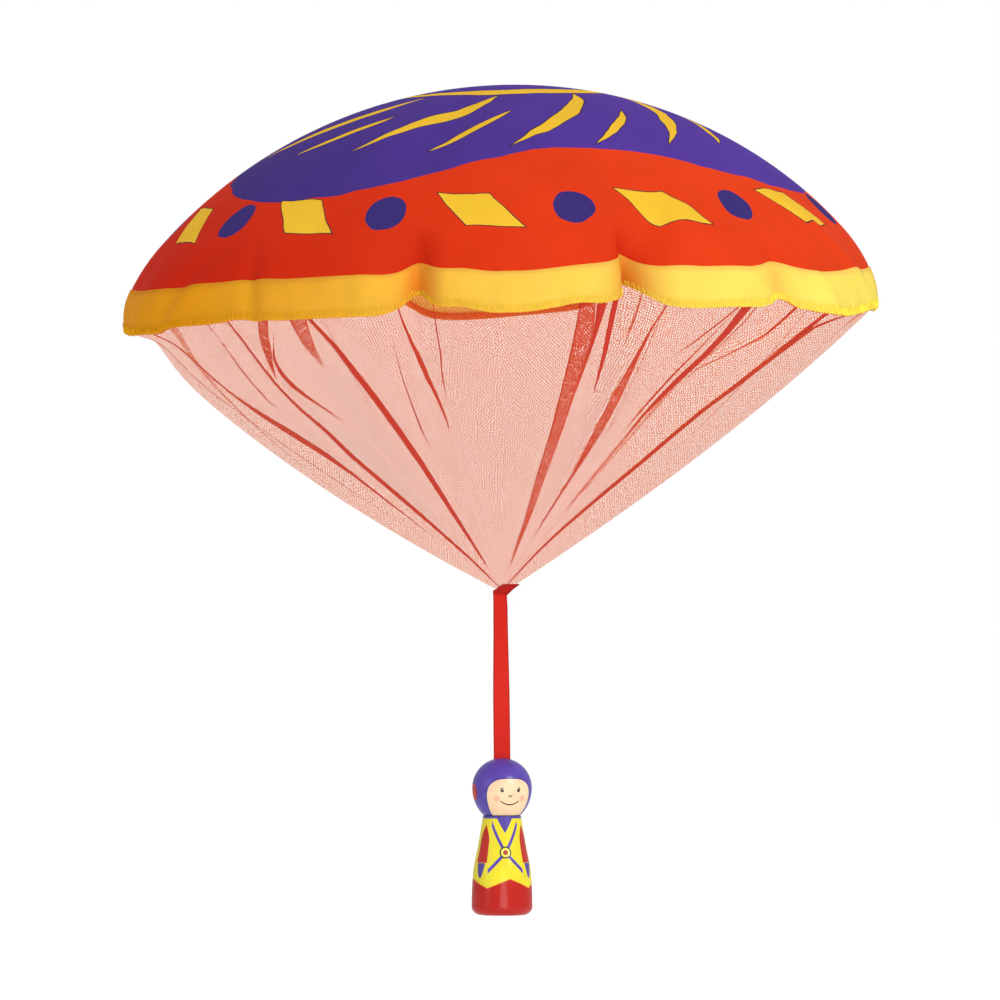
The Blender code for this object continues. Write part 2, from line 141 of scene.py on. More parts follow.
def meridian(arc):
    """Radius and height of the smooth dome at a length of cloth from the crown: two arcs."""
    turn = CROWN_CURVE_LENGTH / CROWN_CURVE_RADIUS
    crown = np.minimum(arc, CROWN_CURVE_LENGTH) / CROWN_CURVE_RADIUS
    shoulder = turn + np.maximum(arc - CROWN_CURVE_LENGTH, 0) / SHOULDER_CURVE_RADIUS
    radius = CROWN_CURVE_RADIUS * np.sin(crown)
    radius = radius + SHOULDER_CURVE_RADIUS * (np.sin(shoulder) - math.sin(turn))
    height = CROWN_CURVE_RADIUS * (np.cos(crown) - 1)
    height = height + SHOULDER_CURVE_RADIUS * (np.cos(shoulder) - math.cos(turn))
    return radius, height


def turned_from(azimuth, centre_deg):
    """How many degrees an azimuth lies past a centre, from -180 to 180."""
    return (np.degrees(azimuth) - centre_deg + 180) % 360 - 180


def folding(azimuth):
    """How deep the cloth is folded in, 0 to about 1: one bell curve a fold, steeper on one side."""
    away = turned_from(azimuth[..., None], FOLDS[:, 0])
    width = np.where(away < 0, FOLDS[:, 2], FOLDS[:, 3])
    return (FOLDS[:, 1] * np.exp(-((away / width) ** 2))).sum(-1)


def lip_lean(azimuth):
    """How far, in radians, the cloth just before each fold leans over it: a narrow bell curve."""
    away = turned_from(azimuth[..., None], FOLDS[:, 0]) - LIP_PLACE_DEG
    return np.radians(FOLDS[:, 4] * np.exp(-((away / LIP_WIDTH_DEG) ** 2))).sum(-1)


def smooth_step(value):
    """0 below 0, 1 above 1, and an S-shaped curve between."""
    value = np.clip(value, 0, 1)
    return value * value * (3 - 2 * value)


def back_rise(azimuth):
    """How much higher the rim hangs: it rises towards the back and sags round one place there."""
    share = np.abs(turned_from(azimuth, 0)) - BACK_RISE_START_DEG
    share = smooth_step(share / (BACK_RISE_END_DEG - BACK_RISE_START_DEG))
    sag = np.exp(-((turned_from(azimuth, BACK_SAG_AZIMUTH_DEG) / BACK_SAG_WIDTH_DEG) ** 2))
    return BACK_RISE * share * (1 - BACK_SAG_SHARE * sag)


def creasing(azimuth, arc):
    """How far in creases take the cloth: a bell curve across each one's line, fading at its inner end."""
    radius = np.maximum(meridian(arc)[0], 0.01)
    depth = np.zeros(np.broadcast(azimuth, arc).shape)
    for rim_deg, rim_arc, top_deg, top_arc, width, deep in CREASES:
        along = (arc - top_arc) / (rim_arc - top_arc)
        centre = top_deg + (rim_deg - top_deg) * np.clip(along, 0, 1)
        away = np.radians(turned_from(azimuth, centre)) * radius / width
        outer_fade = 1 - smooth_step((along - 1) * 3)
        depth = depth + deep * np.exp(-(away**2)) * smooth_step(along * 1.6) * outer_fade
    return depth


def ruffle(azimuth, arc):
    """Small uneven waves that grow towards the rim: three cosines that don't repeat together."""
    near_rim = smooth_step((arc - RUFFLE_START) / (CANOPY_FLAT_RADIUS - RUFFLE_START))
    wave = 0.45 * np.cos(41 * azimuth + 1.3) + 0.35 * np.cos(67 * azimuth - 0.4 + 9 * arc)
    wave = wave + 0.2 * np.cos(113 * azimuth + 2.1)
    swell = 0.6 + 0.4 * np.cos(5 * azimuth + 0.7)
    return RUFFLE_HEIGHT * near_rim * swell * wave


def curling(azimuth, arc):
    """How far in the rim curls at the left and right: from nothing a little above the rim, ever faster."""
    share = np.clip((arc - CANOPY_FLAT_RADIUS + CURL_CLOTH) / CURL_CLOTH, 0, None) ** 2
    left = CURL_LEFT * np.exp(-((turned_from(azimuth, -90) / CURL_WIDTH_DEG) ** 2))
    right = CURL_RIGHT * np.exp(-((turned_from(azimuth, 90) / CURL_WIDTH_DEG) ** 2))
    return share * (left + right)


def canopy_middle(azimuth, arc):
    """Points in the middle of the cloth: the smooth dome, folded in and up towards the rim, and creased."""
    radius, height = meridian(arc)
    start = CANOPY_FLAT_RADIUS - FOLD_REACH
    near_rim = np.clip((arc - start) / FOLD_REACH, 0, None) ** 2
    fold = folding(azimuth) * near_rim
    rise = FOLD_LIFT * fold + back_rise(azimuth) * near_rim
    inward = creasing(azimuth, arc) + ruffle(azimuth, arc) + curling(azimuth, arc)
    slope = np.where(arc < CROWN_CURVE_LENGTH, arc / CROWN_CURVE_RADIUS, RIM_SLOPE)
    radius = radius - FOLD_PULL * fold - inward * np.sin(slope)
    height = height + rise - inward * np.cos(slope) - CLOTH_THICKNESS / 2
    place = azimuth + lip_lean(azimuth) * near_rim
    x = radius * np.sin(place)
    return np.stack([x, -radius * np.cos(place), height + LEAN_SHARE * x], -1)


def canopy_point(azimuth, arc, outward=0.0):
    """Points at a distance outward from the middle of the cloth, square to it, by its slopes both ways."""
    azimuth, arc = np.broadcast_arrays(azimuth, arc)
    step_round, step_down = 0.004, 0.0008
    across = canopy_middle(azimuth + step_round, arc) - canopy_middle(azimuth - step_round, arc)
    down = canopy_middle(azimuth, arc + step_down) - canopy_middle(azimuth, arc - step_down)
    normal = np.cross(down, across)
    normal /= np.maximum(np.linalg.norm(normal, axis=-1, keepdims=True), 1e-12)
    return canopy_middle(azimuth, arc) + normal * np.asarray(outward)[..., None]


def crowded_by(density, fine, shares):
    """Places among fine ones that a density crowds: its running total is cut at shares of the whole."""
    total = np.append(0, np.cumsum((density[1:] + density[:-1]) / 2))
    return np.interp(shares * total[-1], total, fine)


def crowded_azimuths(count):
    """Azimuths all the way round that lie closer together at the folds."""
    fine = np.linspace(-math.pi, math.pi, 7201)
    away = turned_from(fine[:, None], FOLDS[:, 0]) - LIP_PLACE_DEG / 2
    crowding = np.abs(FOLDS[:, 1]) * np.exp(-((away / FOLD_CROWDING_DEG) ** 2))
    return crowded_by(1 + FOLD_CROWDING * crowding.sum(-1), fine, np.arange(count) / count)


def surface(name, points, closed=True, poles=(), uv=None, marks=None):
    """A smooth mesh with a four-sided face between each point of a grid and its neighbours.

    Rows run down or along the piece and columns across it, so that faces look outward where columns run to
    the right of someone outside. Closed joins the last column to the first, and its uv has one column more
    than its points, so that a pattern may end where it began. A pole makes one point of its whole row.
    """
    rows, columns = points.shape[:2]
    index = np.arange(rows * columns).reshape(rows, columns)
    if closed:
        index = np.concatenate([index, index[:, :1]], axis=1)
    if "first" in poles:
        index[0] = index[0, 0]
    if "last" in poles:
        index[-1] = index[-1, 0]
    places = np.arange(index.size).reshape(index.shape)
    corner_lists = []
    for grid in (index, places):
        quads = np.stack([grid[:-1, :-1], grid[1:, :-1], grid[1:, 1:], grid[:-1, 1:]], -1)
        first = quads[:1, :, :3] if "first" in poles else quads[:0, :, :3]
        last = quads[-1:, :, [0, 1, 3]] if "last" in poles else quads[:0, :, :3]
        quads = quads[len(first) : len(quads) - len(last)]
        corner_lists.append(np.concatenate([first.ravel(), last.ravel(), quads.ravel()]))
    triangles = first.shape[0] * first.shape[1] + last.shape[0] * last.shape[1]
    sizes = np.concatenate([np.full(triangles, 3), np.full(quads.shape[0] * quads.shape[1], 4)])
    used, corners = np.unique(corner_lists[0], return_inverse=True)
    mesh = bpy.data.meshes.new(name)
    mesh.vertices.add(len(used))
    mesh.vertices.foreach_set("co", points.reshape(-1, 3)[used].astype(np.float32).ravel())
    mesh.loops.add(len(corners))
    mesh.loops.foreach_set("vertex_index", corners.astype(np.int32))
    mesh.polygons.add(len(sizes))
    mesh.polygons.foreach_set("loop_start", (np.cumsum(sizes) - sizes).astype(np.int32))
    mesh.polygons.foreach_set("use_smooth", np.ones(len(sizes), bool))
    if uv is not None:
        layer = mesh.uv_layers.new(name="flat")
        layer.data.foreach_set("uv", uv.reshape(-1, 2)[corner_lists[1]].astype(np.float32).ravel())
    for mark, values in (marks or {}).items():
        layer = mesh.attributes.new(mark, "FLOAT", "POINT")
        layer.data.foreach_set("value", values.reshape(-1)[used].astype(np.float32))
    mesh.update(calc_edges=True)
    made = bpy.data.objects.new(name, mesh)
    bpy.context.scene.collection.objects.link(made)
    return made


def thicken(piece, thickness, offset=0.0):
    """Gives a sheet its thickness, half to each side unless an offset of 1 or -1 says outward or inward."""
    wall = piece.modifiers.new("thickness", "SOLIDIFY")
    wall.thickness = thickness
    wall.offset = offset
    return piece


def linear(hex_colour):
    """An sRGB colour written as RRGGBB, as linear red, green, blue and alpha."""
    values = np.array([int(hex_colour[i : i + 2], 16) for i in (0, 2, 4)]) / 255
    values = np.where(values <= 0.04045, values / 12.92, ((values + 0.055) / 1.055) ** 2.4)
    return (*values, 1.0)


def add(tree, kind, *inputs, **settings):
    """Adds a shader node with its settings. Inputs fill its sockets in order, and None leaves one out."""
    made = tree.nodes.new("ShaderNode" + kind)
    for name, value in settings.items():
        setattr(made, name, value)
    for socket, value in zip(made.inputs, inputs):
        if isinstance(value, bpy.types.NodeSocket):
            tree.links.new(value, socket)
        elif isinstance(value, bpy.types.Node):
            tree.links.new(value.outputs[0], socket)
        elif value is not None:
            socket.default_value = value
    return made


def finish_of(name, roughness, **sockets):
    """A new material, its node tree and its shader, with plain values on the shader's own sockets."""
    made = bpy.data.materials.new(name)
    made.use_nodes = True
    shader = made.node_tree.nodes["Principled BSDF"]
    shader.inputs["Roughness"].default_value = roughness
    for socket, value in sockets.items():
        shader.inputs[socket.replace("_", " ")].default_value = value
    return made, made.node_tree, shader


def colour_with(tree, shader, colour):
    """Gives the shader its colour."""
    tree.links.new(colour.outputs[0], shader.inputs["Base Color"])


def let_light_through(tree, shader, share):
    """Mixes a share of light from behind, in the shader's own colour, into a thin cloth's material."""
    colour = shader.inputs["Base Color"].links[0].from_socket
    glow = add(tree, "BsdfTranslucent", colour)
    both = add(tree, "MixShader", share, shader.outputs[0], glow)
    tree.links.new(both.outputs[0], tree.nodes["Material Output"].inputs["Surface"])


def scaled(tree, vector, factor):
    """A vector times one number."""
    made = add(tree, "VectorMath", vector, operation="SCALE")
    made.inputs["Scale"].default_value = factor
    return made


def flat_pattern(tree, factor=1000.0):
    """The place in a sheet's own flat pattern, in millimetres unless the factor says otherwise."""
    return scaled(tree, add(tree, "UVMap", uv_map="flat"), factor)


def object_place(tree):
    """The place in the toy's frame, in metres."""
    return add(tree, "TexCoord").outputs["Object"]


def varied(tree, colour, place, scale, detail, darkest, palest):
    """A colour with noise that makes it unevenly darker and paler, as dye, ink and paint are."""
    noise = add(tree, "TexNoise", place, None, scale, detail)
    shade = add(tree, "MapRange", noise, 0.3, 0.7, darkest, palest)
    return add(tree, "MixRGB", 1.0, colour, shade, blend_type="MULTIPLY")


def shaded_by_mark(tree, colour, mark, tint):
    """A colour multiplied by a tint as far as a mark of the mesh says, which paints shade on it."""
    share = add(tree, "Attribute", attribute_name=mark).outputs["Fac"]
    return add(tree, "MixRGB", share, colour, tint, blend_type="MULTIPLY")


def emboss(tree, shader, height, strength, depth):
    """Raises the shader's surface by a pattern, to a depth in metres."""
    relief = add(tree, "Bump", strength, depth)
    tree.links.new(height, relief.inputs["Height"])
    tree.links.new(relief.outputs[0], shader.inputs["Normal"])


def emboss_weave(tree, shader, in_mm, strength):
    """Raises a plain weave, threads one way times threads the other."""
    threads = [add(tree, "TexWave", in_mm, WEAVE_SCALE, bands_direction=way).outputs["Fac"] for way in "XY"]
    weave = add(tree, "Math", *threads, operation="MULTIPLY")
    emboss(tree, shader, weave.outputs[0], strength, 0.0002)


# Polyester satin: a soft wide sheen, a weave too fine to see that is drawn at 0.8 mm, and screen-printed
# inks. It is so thin that light from behind glows through it.
SATIN_LIGHT_SHARE = 0.4
WEAVE_SCALE = 0.4
PRINT_RED = linear("DA2C10")
LIT_SIDE_RED = linear("F2491A")
PRINT_PURPLE = linear("3F3583")
LIT_SIDE_PURPLE = linear("5B3FAF")
PRINT_YELLOW = linear("FFD53A")
PRINT_OUTLINE = linear("3A2A3C")
# The hem under the band, seen only from inside, is its own yellow painted paler, as light glowing through it
HEM_PAINTED_LIT = linear("FFEFA0")
FOLD_SHADE_TINT = (0.8, 0.45, 0.4, 1.0)
FIELD_RADIUS_MM = 180.0
FIELD_LOBE_MM = 22.0
FIELD_LOBE_TURN = 0.84
MOTIF_RADIUS_MM = 216.0
MOTIF_REPEATS = 11
MOTIF_START = 0.07
KITE_TILT_DEG = 27.0
KITE_HALF_MM = (33.0, 15.0)
DOT_RADIUS_MM = 13.5
CROWN_RING_MM = 60.0
STREAK_REPEATS = 9
STREAK_START = 0.2
STREAK_CURL = 0.0075
# A long and a short streak: middle from the crown, half length and half width
STREAKS_MM = ((112.0, 42.0, 6.5), (130.0, 23.0, 4.2))
STREAK_OUTLINE_MM = 0.9
HAND_WOBBLE_MM = 5.0
# The print is painted paler on the right and on top and deeper on the left, as light and shade: the way that
# it pales, and from where to where
PAINTED_LIGHT_WAY = (2.2, -0.4, 3.4)
PAINTED_LIGHT_FROM_TO = (-0.75, 0.2)

printed_satin, tree, shader = finish_of("printed polyester satin", 0.65, Specular_IOR_Level=0.08)
in_mm = flat_pattern(tree)
hand_drawn = add(tree, "TexNoise", in_mm, None, 0.045, 1.0)
centred = add(tree, "VectorMath", hand_drawn.outputs["Color"], (0.5, 0.5, 0.5), operation="SUBTRACT")
drawn = add(tree, "VectorMath", in_mm, scaled(tree, centred, HAND_WOBBLE_MM), operation="ADD")
axes = add(tree, "SeparateXYZ", drawn)
from_crown = add(tree, "VectorMath", drawn, operation="LENGTH").outputs["Value"]
backward = add(tree, "Math", axes.outputs["Y"], -1.0, operation="MULTIPLY")
bearing = add(tree, "Math", axes.outputs["X"], backward, operation="ARCTAN2")

# A motif's own axes: distances both ways from the middle of the nearest kite, and of the nearest dot
half_repeat = math.pi / MOTIF_REPEATS
from_start = add(tree, "Math", bearing, MOTIF_START, operation="ADD")
to_kite = add(tree, "Math", from_start, half_repeat, -half_repeat, operation="WRAP")
kite_x = add(tree, "Math", to_kite, MOTIF_RADIUS_MM, operation="MULTIPLY")
kite_y = add(tree, "Math", from_crown, MOTIF_RADIUS_MM, operation="SUBTRACT")
kite_at = add(tree, "CombineXYZ", kite_x, kite_y, 0.0)
tilt = math.radians(-KITE_TILT_DEG)
tilted = add(tree, "VectorRotate", kite_at, None, None, tilt, rotation_type="Z_AXIS")
kite_axes = add(tree, "VectorMath", tilted, operation="ABSOLUTE")
kite_share = add(tree, "VectorMath", kite_axes, (*KITE_HALF_MM, 1.0), operation="DIVIDE")
kite_sum = add(tree, "VectorMath", kite_share, (1.0, 1.0, 0.0), operation="DOT_PRODUCT").outputs["Value"]
kite = add(tree, "Math", kite_sum, 1.0, operation="LESS_THAN")
kite_outline = add(tree, "Math", kite_sum, 1.05, operation="LESS_THAN")
past_kite = add(tree, "Math", from_start, half_repeat, operation="ADD")
to_dot = add(tree, "Math", past_kite, half_repeat, -half_repeat, operation="WRAP")
dot_x = add(tree, "Math", to_dot, MOTIF_RADIUS_MM, operation="MULTIPLY")
dot_at = add(tree, "CombineXYZ", dot_x, kite_y, 0.0)
dot_away = add(tree, "VectorMath", dot_at, operation="LENGTH").outputs["Value"]
dot = add(tree, "Math", dot_away, DOT_RADIUS_MM, operation="LESS_THAN")

# Streaks on the crown's field: tapered, curling, with an ink outline, between a ring and the field's edge
half_streak = math.pi / STREAK_REPEATS
starts = (STREAK_START, STREAK_START + half_streak)
curl = add(tree, "Math", from_crown, STREAK_CURL, bearing, operation="MULTIPLY_ADD")
streaks = []
for start, (middle, half_length, half_width) in zip(starts, STREAKS_MM):
    shifted = add(tree, "Math", curl, start, operation="ADD")
    nearest = add(tree, "Math", shifted, half_streak, -half_streak, operation="WRAP")
    sideways = add(tree, "Math", nearest, from_crown, operation="MULTIPLY")
    aside = add(tree, "Math", sideways, operation="ABSOLUTE")
    along = add(tree, "Math", from_crown, middle, operation="SUBTRACT")
    along_share = add(tree, "Math", along, half_length, operation="DIVIDE")
    squared = add(tree, "Math", along_share, along_share, operation="MULTIPLY")
    allowed = add(tree, "Math", squared, -half_width, half_width, operation="MULTIPLY_ADD")
    streaks.append(add(tree, "Math", aside, allowed, operation="SUBTRACT"))
off_ring = add(tree, "Math", from_crown, CROWN_RING_MM, operation="SUBTRACT")
ring_away = add(tree, "Math", off_ring, operation="ABSOLUTE")
ring_wave = add(tree, "Math", bearing, 2.0, 0.8, operation="MULTIPLY_ADD")
ring_swell = add(tree, "Math", ring_wave, operation="SINE")
ring_half = add(tree, "Math", ring_swell, 2.2, 5.0, operation="MULTIPLY_ADD")
crown_ring = add(tree, "Math", ring_away, ring_half, operation="SUBTRACT")
either = add(tree, "Math", *streaks, operation="MINIMUM")
streak_edge = add(tree, "Math", either, crown_ring, operation="MINIMUM")
streak = add(tree, "Math", streak_edge, 0.0, operation="LESS_THAN")
outline = add(tree, "Math", streak_edge, STREAK_OUTLINE_MM, operation="LESS_THAN")
lobe_turn = add(tree, "Math", bearing, 3.0, -FIELD_LOBE_TURN, operation="MULTIPLY_ADD")
lobe = add(tree, "Math", lobe_turn, operation="COSINE")
field_edge = add(tree, "Math", lobe, -FIELD_LOBE_MM, FIELD_RADIUS_MM, operation="MULTIPLY_ADD")
field = add(tree, "Math", from_crown, field_edge, operation="LESS_THAN")
hem_from = (CANOPY_FLAT_RADIUS - BAND_WIDTH + HEM_HIDDEN) * 1000
hem = add(tree, "Math", from_crown, hem_from, operation="GREATER_THAN")

# The inks in the order that they are printed, each over the last
# Painted light and shade: the red and purple grounds go paler towards the right and the top
toward_light = add(tree, "VectorMath", object_place(tree), PAINTED_LIGHT_WAY, operation="DOT_PRODUCT")
painted_light = add(tree, "MapRange", toward_light.outputs["Value"], *PAINTED_LIGHT_FROM_TO, 0.0, 1.0)
ink = add(tree, "MixRGB", painted_light, PRINT_RED, LIT_SIDE_RED)
field_ink = add(tree, "MixRGB", painted_light, PRINT_PURPLE, LIT_SIDE_PURPLE)
for mask, colour in ((outline, PRINT_OUTLINE), (streak, PRINT_YELLOW)):
    field_ink = add(tree, "MixRGB", mask, field_ink, colour)
for mask, colour in (
    (dot, PRINT_PURPLE),
    (field, field_ink),
    (kite_outline, PRINT_OUTLINE),
    (kite, PRINT_YELLOW),
    (hem, HEM_PAINTED_LIT),
):
    ink = add(tree, "MixRGB", mask, ink, colour)
blotched = varied(tree, ink, in_mm, 0.018, 3.0, 0.93, 1.05)
# Painted shade deepens the print's colour in the folds
colour_with(tree, shader, shaded_by_mark(tree, blotched, "fold_shade", FOLD_SHADE_TINT))
emboss_weave(tree, shader, in_mm, 0.06)
let_light_through(tree, shader, SATIN_LIGHT_SHARE)

# Painted shade that deepens the cloth's colour in the folds: how wide before a fold's lip, from what length,
# over how much
FOLD_SHADE_LIP_WIDTH_DEG = 2.8
FOLD_SHADE_START = 0.222
FOLD_SHADE_REACH = 0.06


def tuck_shade(azimuth, arc):
    """How deep the cloth lies in a fold, 0 to 1, and so how much painted shade it gets: most just past each
    lip.
    """
    away = turned_from(azimuth[..., None], FOLDS[:, 0])
    width = np.where(away < 0, FOLD_SHADE_LIP_WIDTH_DEG, FOLDS[:, 3])
    depth = (np.maximum(FOLDS[:, 1], 0) * (FOLDS[:, 4] > 0) * np.exp(-((away / width) ** 2))).sum(-1)
    near_rim = smooth_step((arc - FOLD_SHADE_START) / FOLD_SHADE_REACH)
    return np.clip(depth, 0, 1) * near_rim


cloth_azimuth = crowded_azimuths(CLOTH_COLUMNS)
row_share = np.linspace(0, 1, CLOTH_ROWS)
cloth_arc = CANOPY_FLAT_RADIUS * (1 - (1 - row_share) ** 1.25)
azimuth_grid, arc_grid = np.meshgrid(cloth_azimuth, cloth_arc)
cloth_flat = np.stack([arc_grid * np.sin(azimuth_grid), -arc_grid * np.cos(azimuth_grid)], -1)
cloth_flat = np.concatenate([cloth_flat, cloth_flat[:, :1]], axis=1)
canopy = surface(
    "canopy_satin",
    canopy_point(azimuth_grid, arc_grid),
    poles=("first",),
    uv=cloth_flat,
    marks={"fold_shade": tuck_shade(azimuth_grid, arc_grid)},
)
canopy.data.materials.append(printed_satin)
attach(canopy, "canopy")
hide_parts("canopy_cloth")

# Rim band: a strip of yellow satin 25 mm wide, sewn flat round the outside of the edge. Its lower edge is
# overlocked together with the canopy, the seam tape and the net. Its yellow is painted paler towards the
# right and deeper towards the left, as light and shade.
BAND_STAND_OFF = 0.0006
BAND_ROWS = 12
BAND_OVERHANG = 0.0004
PAINTED_LIGHT_X_FROM_TO = (-0.18, 0.17)
SHADED_SIDE_YELLOW = linear("F4B41E")
LIT_SIDE_YELLOW = linear("FFF274")
BAND_FOLD_SHADE_TINT = (0.9, 0.42, 0.22, 1.0)
SEAM_FROM_TO_MM = (19.5, 21.5)


def yellow_with_painted_light(tree):
    """The band's yellow, painted paler towards the right and deeper towards the left, as light and shade."""
    to_right = add(tree, "SeparateXYZ", object_place(tree))
    painted_light = add(tree, "MapRange", to_right.outputs["X"], *PAINTED_LIGHT_X_FROM_TO, 0.0, 1.0)
    return add(tree, "MixRGB", painted_light, SHADED_SIDE_YELLOW, LIT_SIDE_YELLOW)


# The same satin dyed yellow, with painted shade between the tufts of thread along its lower edge and in its
# folds
band_satin, tree, shader = finish_of("yellow polyester satin", 0.65, Specular_IOR_Level=0.08)
in_mm = flat_pattern(tree)
blotchy_colour = varied(tree, yellow_with_painted_light(tree), in_mm, 0.03, 3.0, 0.94, 1.04)
axes = add(tree, "SeparateXYZ", in_mm)
in_seam = add(tree, "MapRange", axes.outputs["Y"], *SEAM_FROM_TO_MM, 0.0, 0.2)
tufts = add(tree, "VectorMath", in_mm, (0.9, 0.28, 1.0), operation="MULTIPLY")
tufting = add(tree, "TexNoise", tufts, None, 1.0, 2.0)
between = add(tree, "MapRange", tufting, 0.42, 0.60, 1.0, 0.0)
# Painted shade: darker gaps between the tufts, and deeper colour in the folds
painted_tuft_shade = add(tree, "Math", in_seam, between, operation="MULTIPLY")
fold_shade_in = shaded_by_mark(tree, blotchy_colour, "fold_shade", BAND_FOLD_SHADE_TINT)
colour_with(tree, shader, add(tree, "MixRGB", painted_tuft_shade, fold_shade_in, linear("C88210")))
emboss_weave(tree, shader, in_mm, 0.08)
let_light_through(tree, shader, SATIN_LIGHT_SHARE)

# The band's first rows lie close together and closer to the cloth, so that its upper edge shows no gap
down_band = np.append(0, np.linspace(0.02, 1, BAND_ROWS - 1))
azimuth_grid, share_grid = np.meshgrid(cloth_azimuth, down_band)
band_arc = CANOPY_FLAT_RADIUS - BAND_WIDTH * (1 - share_grid) + BAND_OVERHANG * share_grid
stand_off = BAND_STAND_OFF * np.minimum(0.15 + 50 * share_grid, 1)
band_points = canopy_point(azimuth_grid, band_arc, stand_off)
round_band = np.append(cloth_azimuth, cloth_azimuth[0] + 2 * math.pi) * CANOPY_FLAT_RADIUS
band_flat = np.stack(np.meshgrid(round_band, down_band * BAND_WIDTH), -1)
band_marks = {"fold_shade": tuck_shade(azimuth_grid, band_arc)}
band = surface("rim_band_satin", band_points, uv=band_flat, marks=band_marks)
band.data.materials.append(band_satin)
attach(band, "canopy")
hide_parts("rim_band")

# Overlock thread: one yellow spun thread in close slanting loops round the raw edges of the canopy, band,
# tape and net together, sewn by machine along the whole rim. Its fuzz of loose fibres shows as noise.
OVERLOCK_STITCHES = 760
OVERLOCK_DEPTH = 0.0040
THREAD_RADIUS = 0.00018
THREAD_SIDES = 5
THREAD_OUTWARD_RISE = 0.013
THREAD_DYE = (0.97, 0.93, 0.45, 1.0)


def thread_ring(name, path, radius, sides):
    """A round thread along a closed path: at each of its points, a circle square to the way it runs."""
    ahead = np.roll(path, -1, 0) - np.roll(path, 1, 0)
    ahead /= np.linalg.norm(ahead, axis=-1, keepdims=True)
    outward = np.stack([path[:, 0], path[:, 1], np.full(len(path), THREAD_OUTWARD_RISE)], -1)
    side = np.cross(ahead, outward)
    side /= np.linalg.norm(side, axis=-1, keepdims=True)
    up = np.cross(side, ahead)
    turn = np.arange(sides) * 2 * math.pi / sides
    circle = np.cos(turn)[:, None, None] * side + np.sin(turn)[:, None, None] * up
    rings = path + radius * circle
    rings = np.concatenate([rings, rings[:, :1]], axis=1)
    return surface(name, np.concatenate([rings, rings[:1]]).transpose(1, 0, 2)[:, ::-1], closed=False)


overlock_thread, tree, shader = finish_of("yellow sewing thread", 0.8, Specular_IOR_Level=0.1)
# The thread takes the band's yellow with its painted light and shade
fuzzy = varied(tree, yellow_with_painted_light(tree), object_place(tree), 420.0, 2.0, 0.94, 1.08)
colour_with(tree, shader, add(tree, "MixRGB", 1.0, fuzzy, THREAD_DYE, blend_type="MULTIPLY"))

# One stitch: down the outside, round the edge, up the inside a little, and back over the edge
stitch = np.arange(OVERLOCK_STITCHES)[:, None]
along_stitch = np.array([0.0, 0.10, 0.42, 0.50, 0.58, 0.90])
stitch_arc = CANOPY_FLAT_RADIUS + np.array([-1, -0.96, 0.13, 0.2, 0.13, -0.96]) * OVERLOCK_DEPTH
stitch_out = np.array([0.80, 0.84, 0.80, 0.2, 0.80, 0.84]) * 0.001
thread_azimuth = (stitch + along_stitch).ravel() / OVERLOCK_STITCHES * 2 * math.pi
uneven = 1 + 0.16 * np.cos(thread_azimuth * 173) + 0.12 * np.cos(thread_azimuth * 97 + 1)
uneven = uneven + 0.14 * np.cos(thread_azimuth * 311 + 2) * np.cos(thread_azimuth * 37)
thread_azimuth = thread_azimuth + 0.0016 * np.cos(thread_azimuth * 231) * np.cos(thread_azimuth * 53)
thread_arc = CANOPY_FLAT_RADIUS + (np.tile(stitch_arc, OVERLOCK_STITCHES) - CANOPY_FLAT_RADIUS) * uneven
thread_path = canopy_point(thread_azimuth, thread_arc, np.tile(stitch_out, OVERLOCK_STITCHES))
overlock = thread_ring("overlock_thread", thread_path, THREAD_RADIUS, THREAD_SIDES)
overlock.data.materials.append(overlock_thread)
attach(overlock, "canopy")

# Net seam tape: a narrow strip of orange woven tape inside the edge, between canopy and net, caught by
# the overlocking. It is seen from inside, through the net, as a dense line round the mouth of the canopy.
TAPE_RISE = 0.0048
TAPE_OVERHANG = 0.0004
TAPE_STAND_IN = 0.0012
TAPE_THICKNESS = 0.0004
TAPE_ROWS = 4


def mottled(name, roughness, scale, first, second):
    """A material of matted thread: noise between two colours."""
    made, tree, shader = finish_of(name, roughness)
    fuzz = add(tree, "TexNoise", object_place(tree), None, scale, 2.0)
    colour_with(tree, shader, add(tree, "MixRGB", fuzz, linear(first), linear(second)))
    return made


tape_weave = mottled("orange woven tape", 0.75, 600.0, "F0702A", "FF9A48")
azimuth_grid, share_grid = np.meshgrid(cloth_azimuth, np.linspace(0, 1, TAPE_ROWS))
tape_arc = CANOPY_FLAT_RADIUS - TAPE_RISE + (TAPE_RISE + TAPE_OVERHANG) * share_grid
tape_points = canopy_point(azimuth_grid, tape_arc, -TAPE_STAND_IN)
tape = surface("seam_tape", tape_points)
thicken(tape, TAPE_THICKNESS)
tape.data.materials.append(tape_weave)
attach(tape, "canopy")
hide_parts("net_seam_tape")

# Net: a circle of red nylon tulle as large as the canopy, sewn to it edge to edge. Its middle is drawn
# down to the ribbon, so that it hangs as a cone, and the cloth left over lies in flat pleats that run to
# a point at the throat.
NET_DROP = 0.1608
NET_STAND_IN = 0.0022
NET_TUCK = 0.004
NET_BULGE = 0.0075
NET_BULGE_LEFT_SHARE = 0.33
# At the left the band's curled edge holds the net in: how far, where round the rim, and at what share of
# the way down
NET_HELD_IN = 0.0065
NET_HELD_IN_DEG = -88
NET_HELD_IN_WIDTH_DEG = 28
NET_HELD_IN_SHARE = 0.06
NET_FOLD_DEPTH = 0.002
RIM_SHAPE_FADE = 3
LEAN_FADE = 8
NECK_HALF_WIDTH = 0.0053
NECK_HALF_DEPTH = 0.0024
NET_COLUMNS = 300
NET_ROWS = 80
# A pleat's layers: the gap between them, the widths at which they lie fully apart and show fully, and how
# much denser a folded edge is
PLEAT_LAYER_GAP = 0.00022
PLEAT_APART_WIDTH = 0.001
PLEAT_SHOWN_WIDTH = 0.0004
PLEAT_EDGE_SHARE = 0.5
MESH_PITCH_MM = 1.8
MESH_THREAD_MM = 0.41
MESH_PULL = 1.2
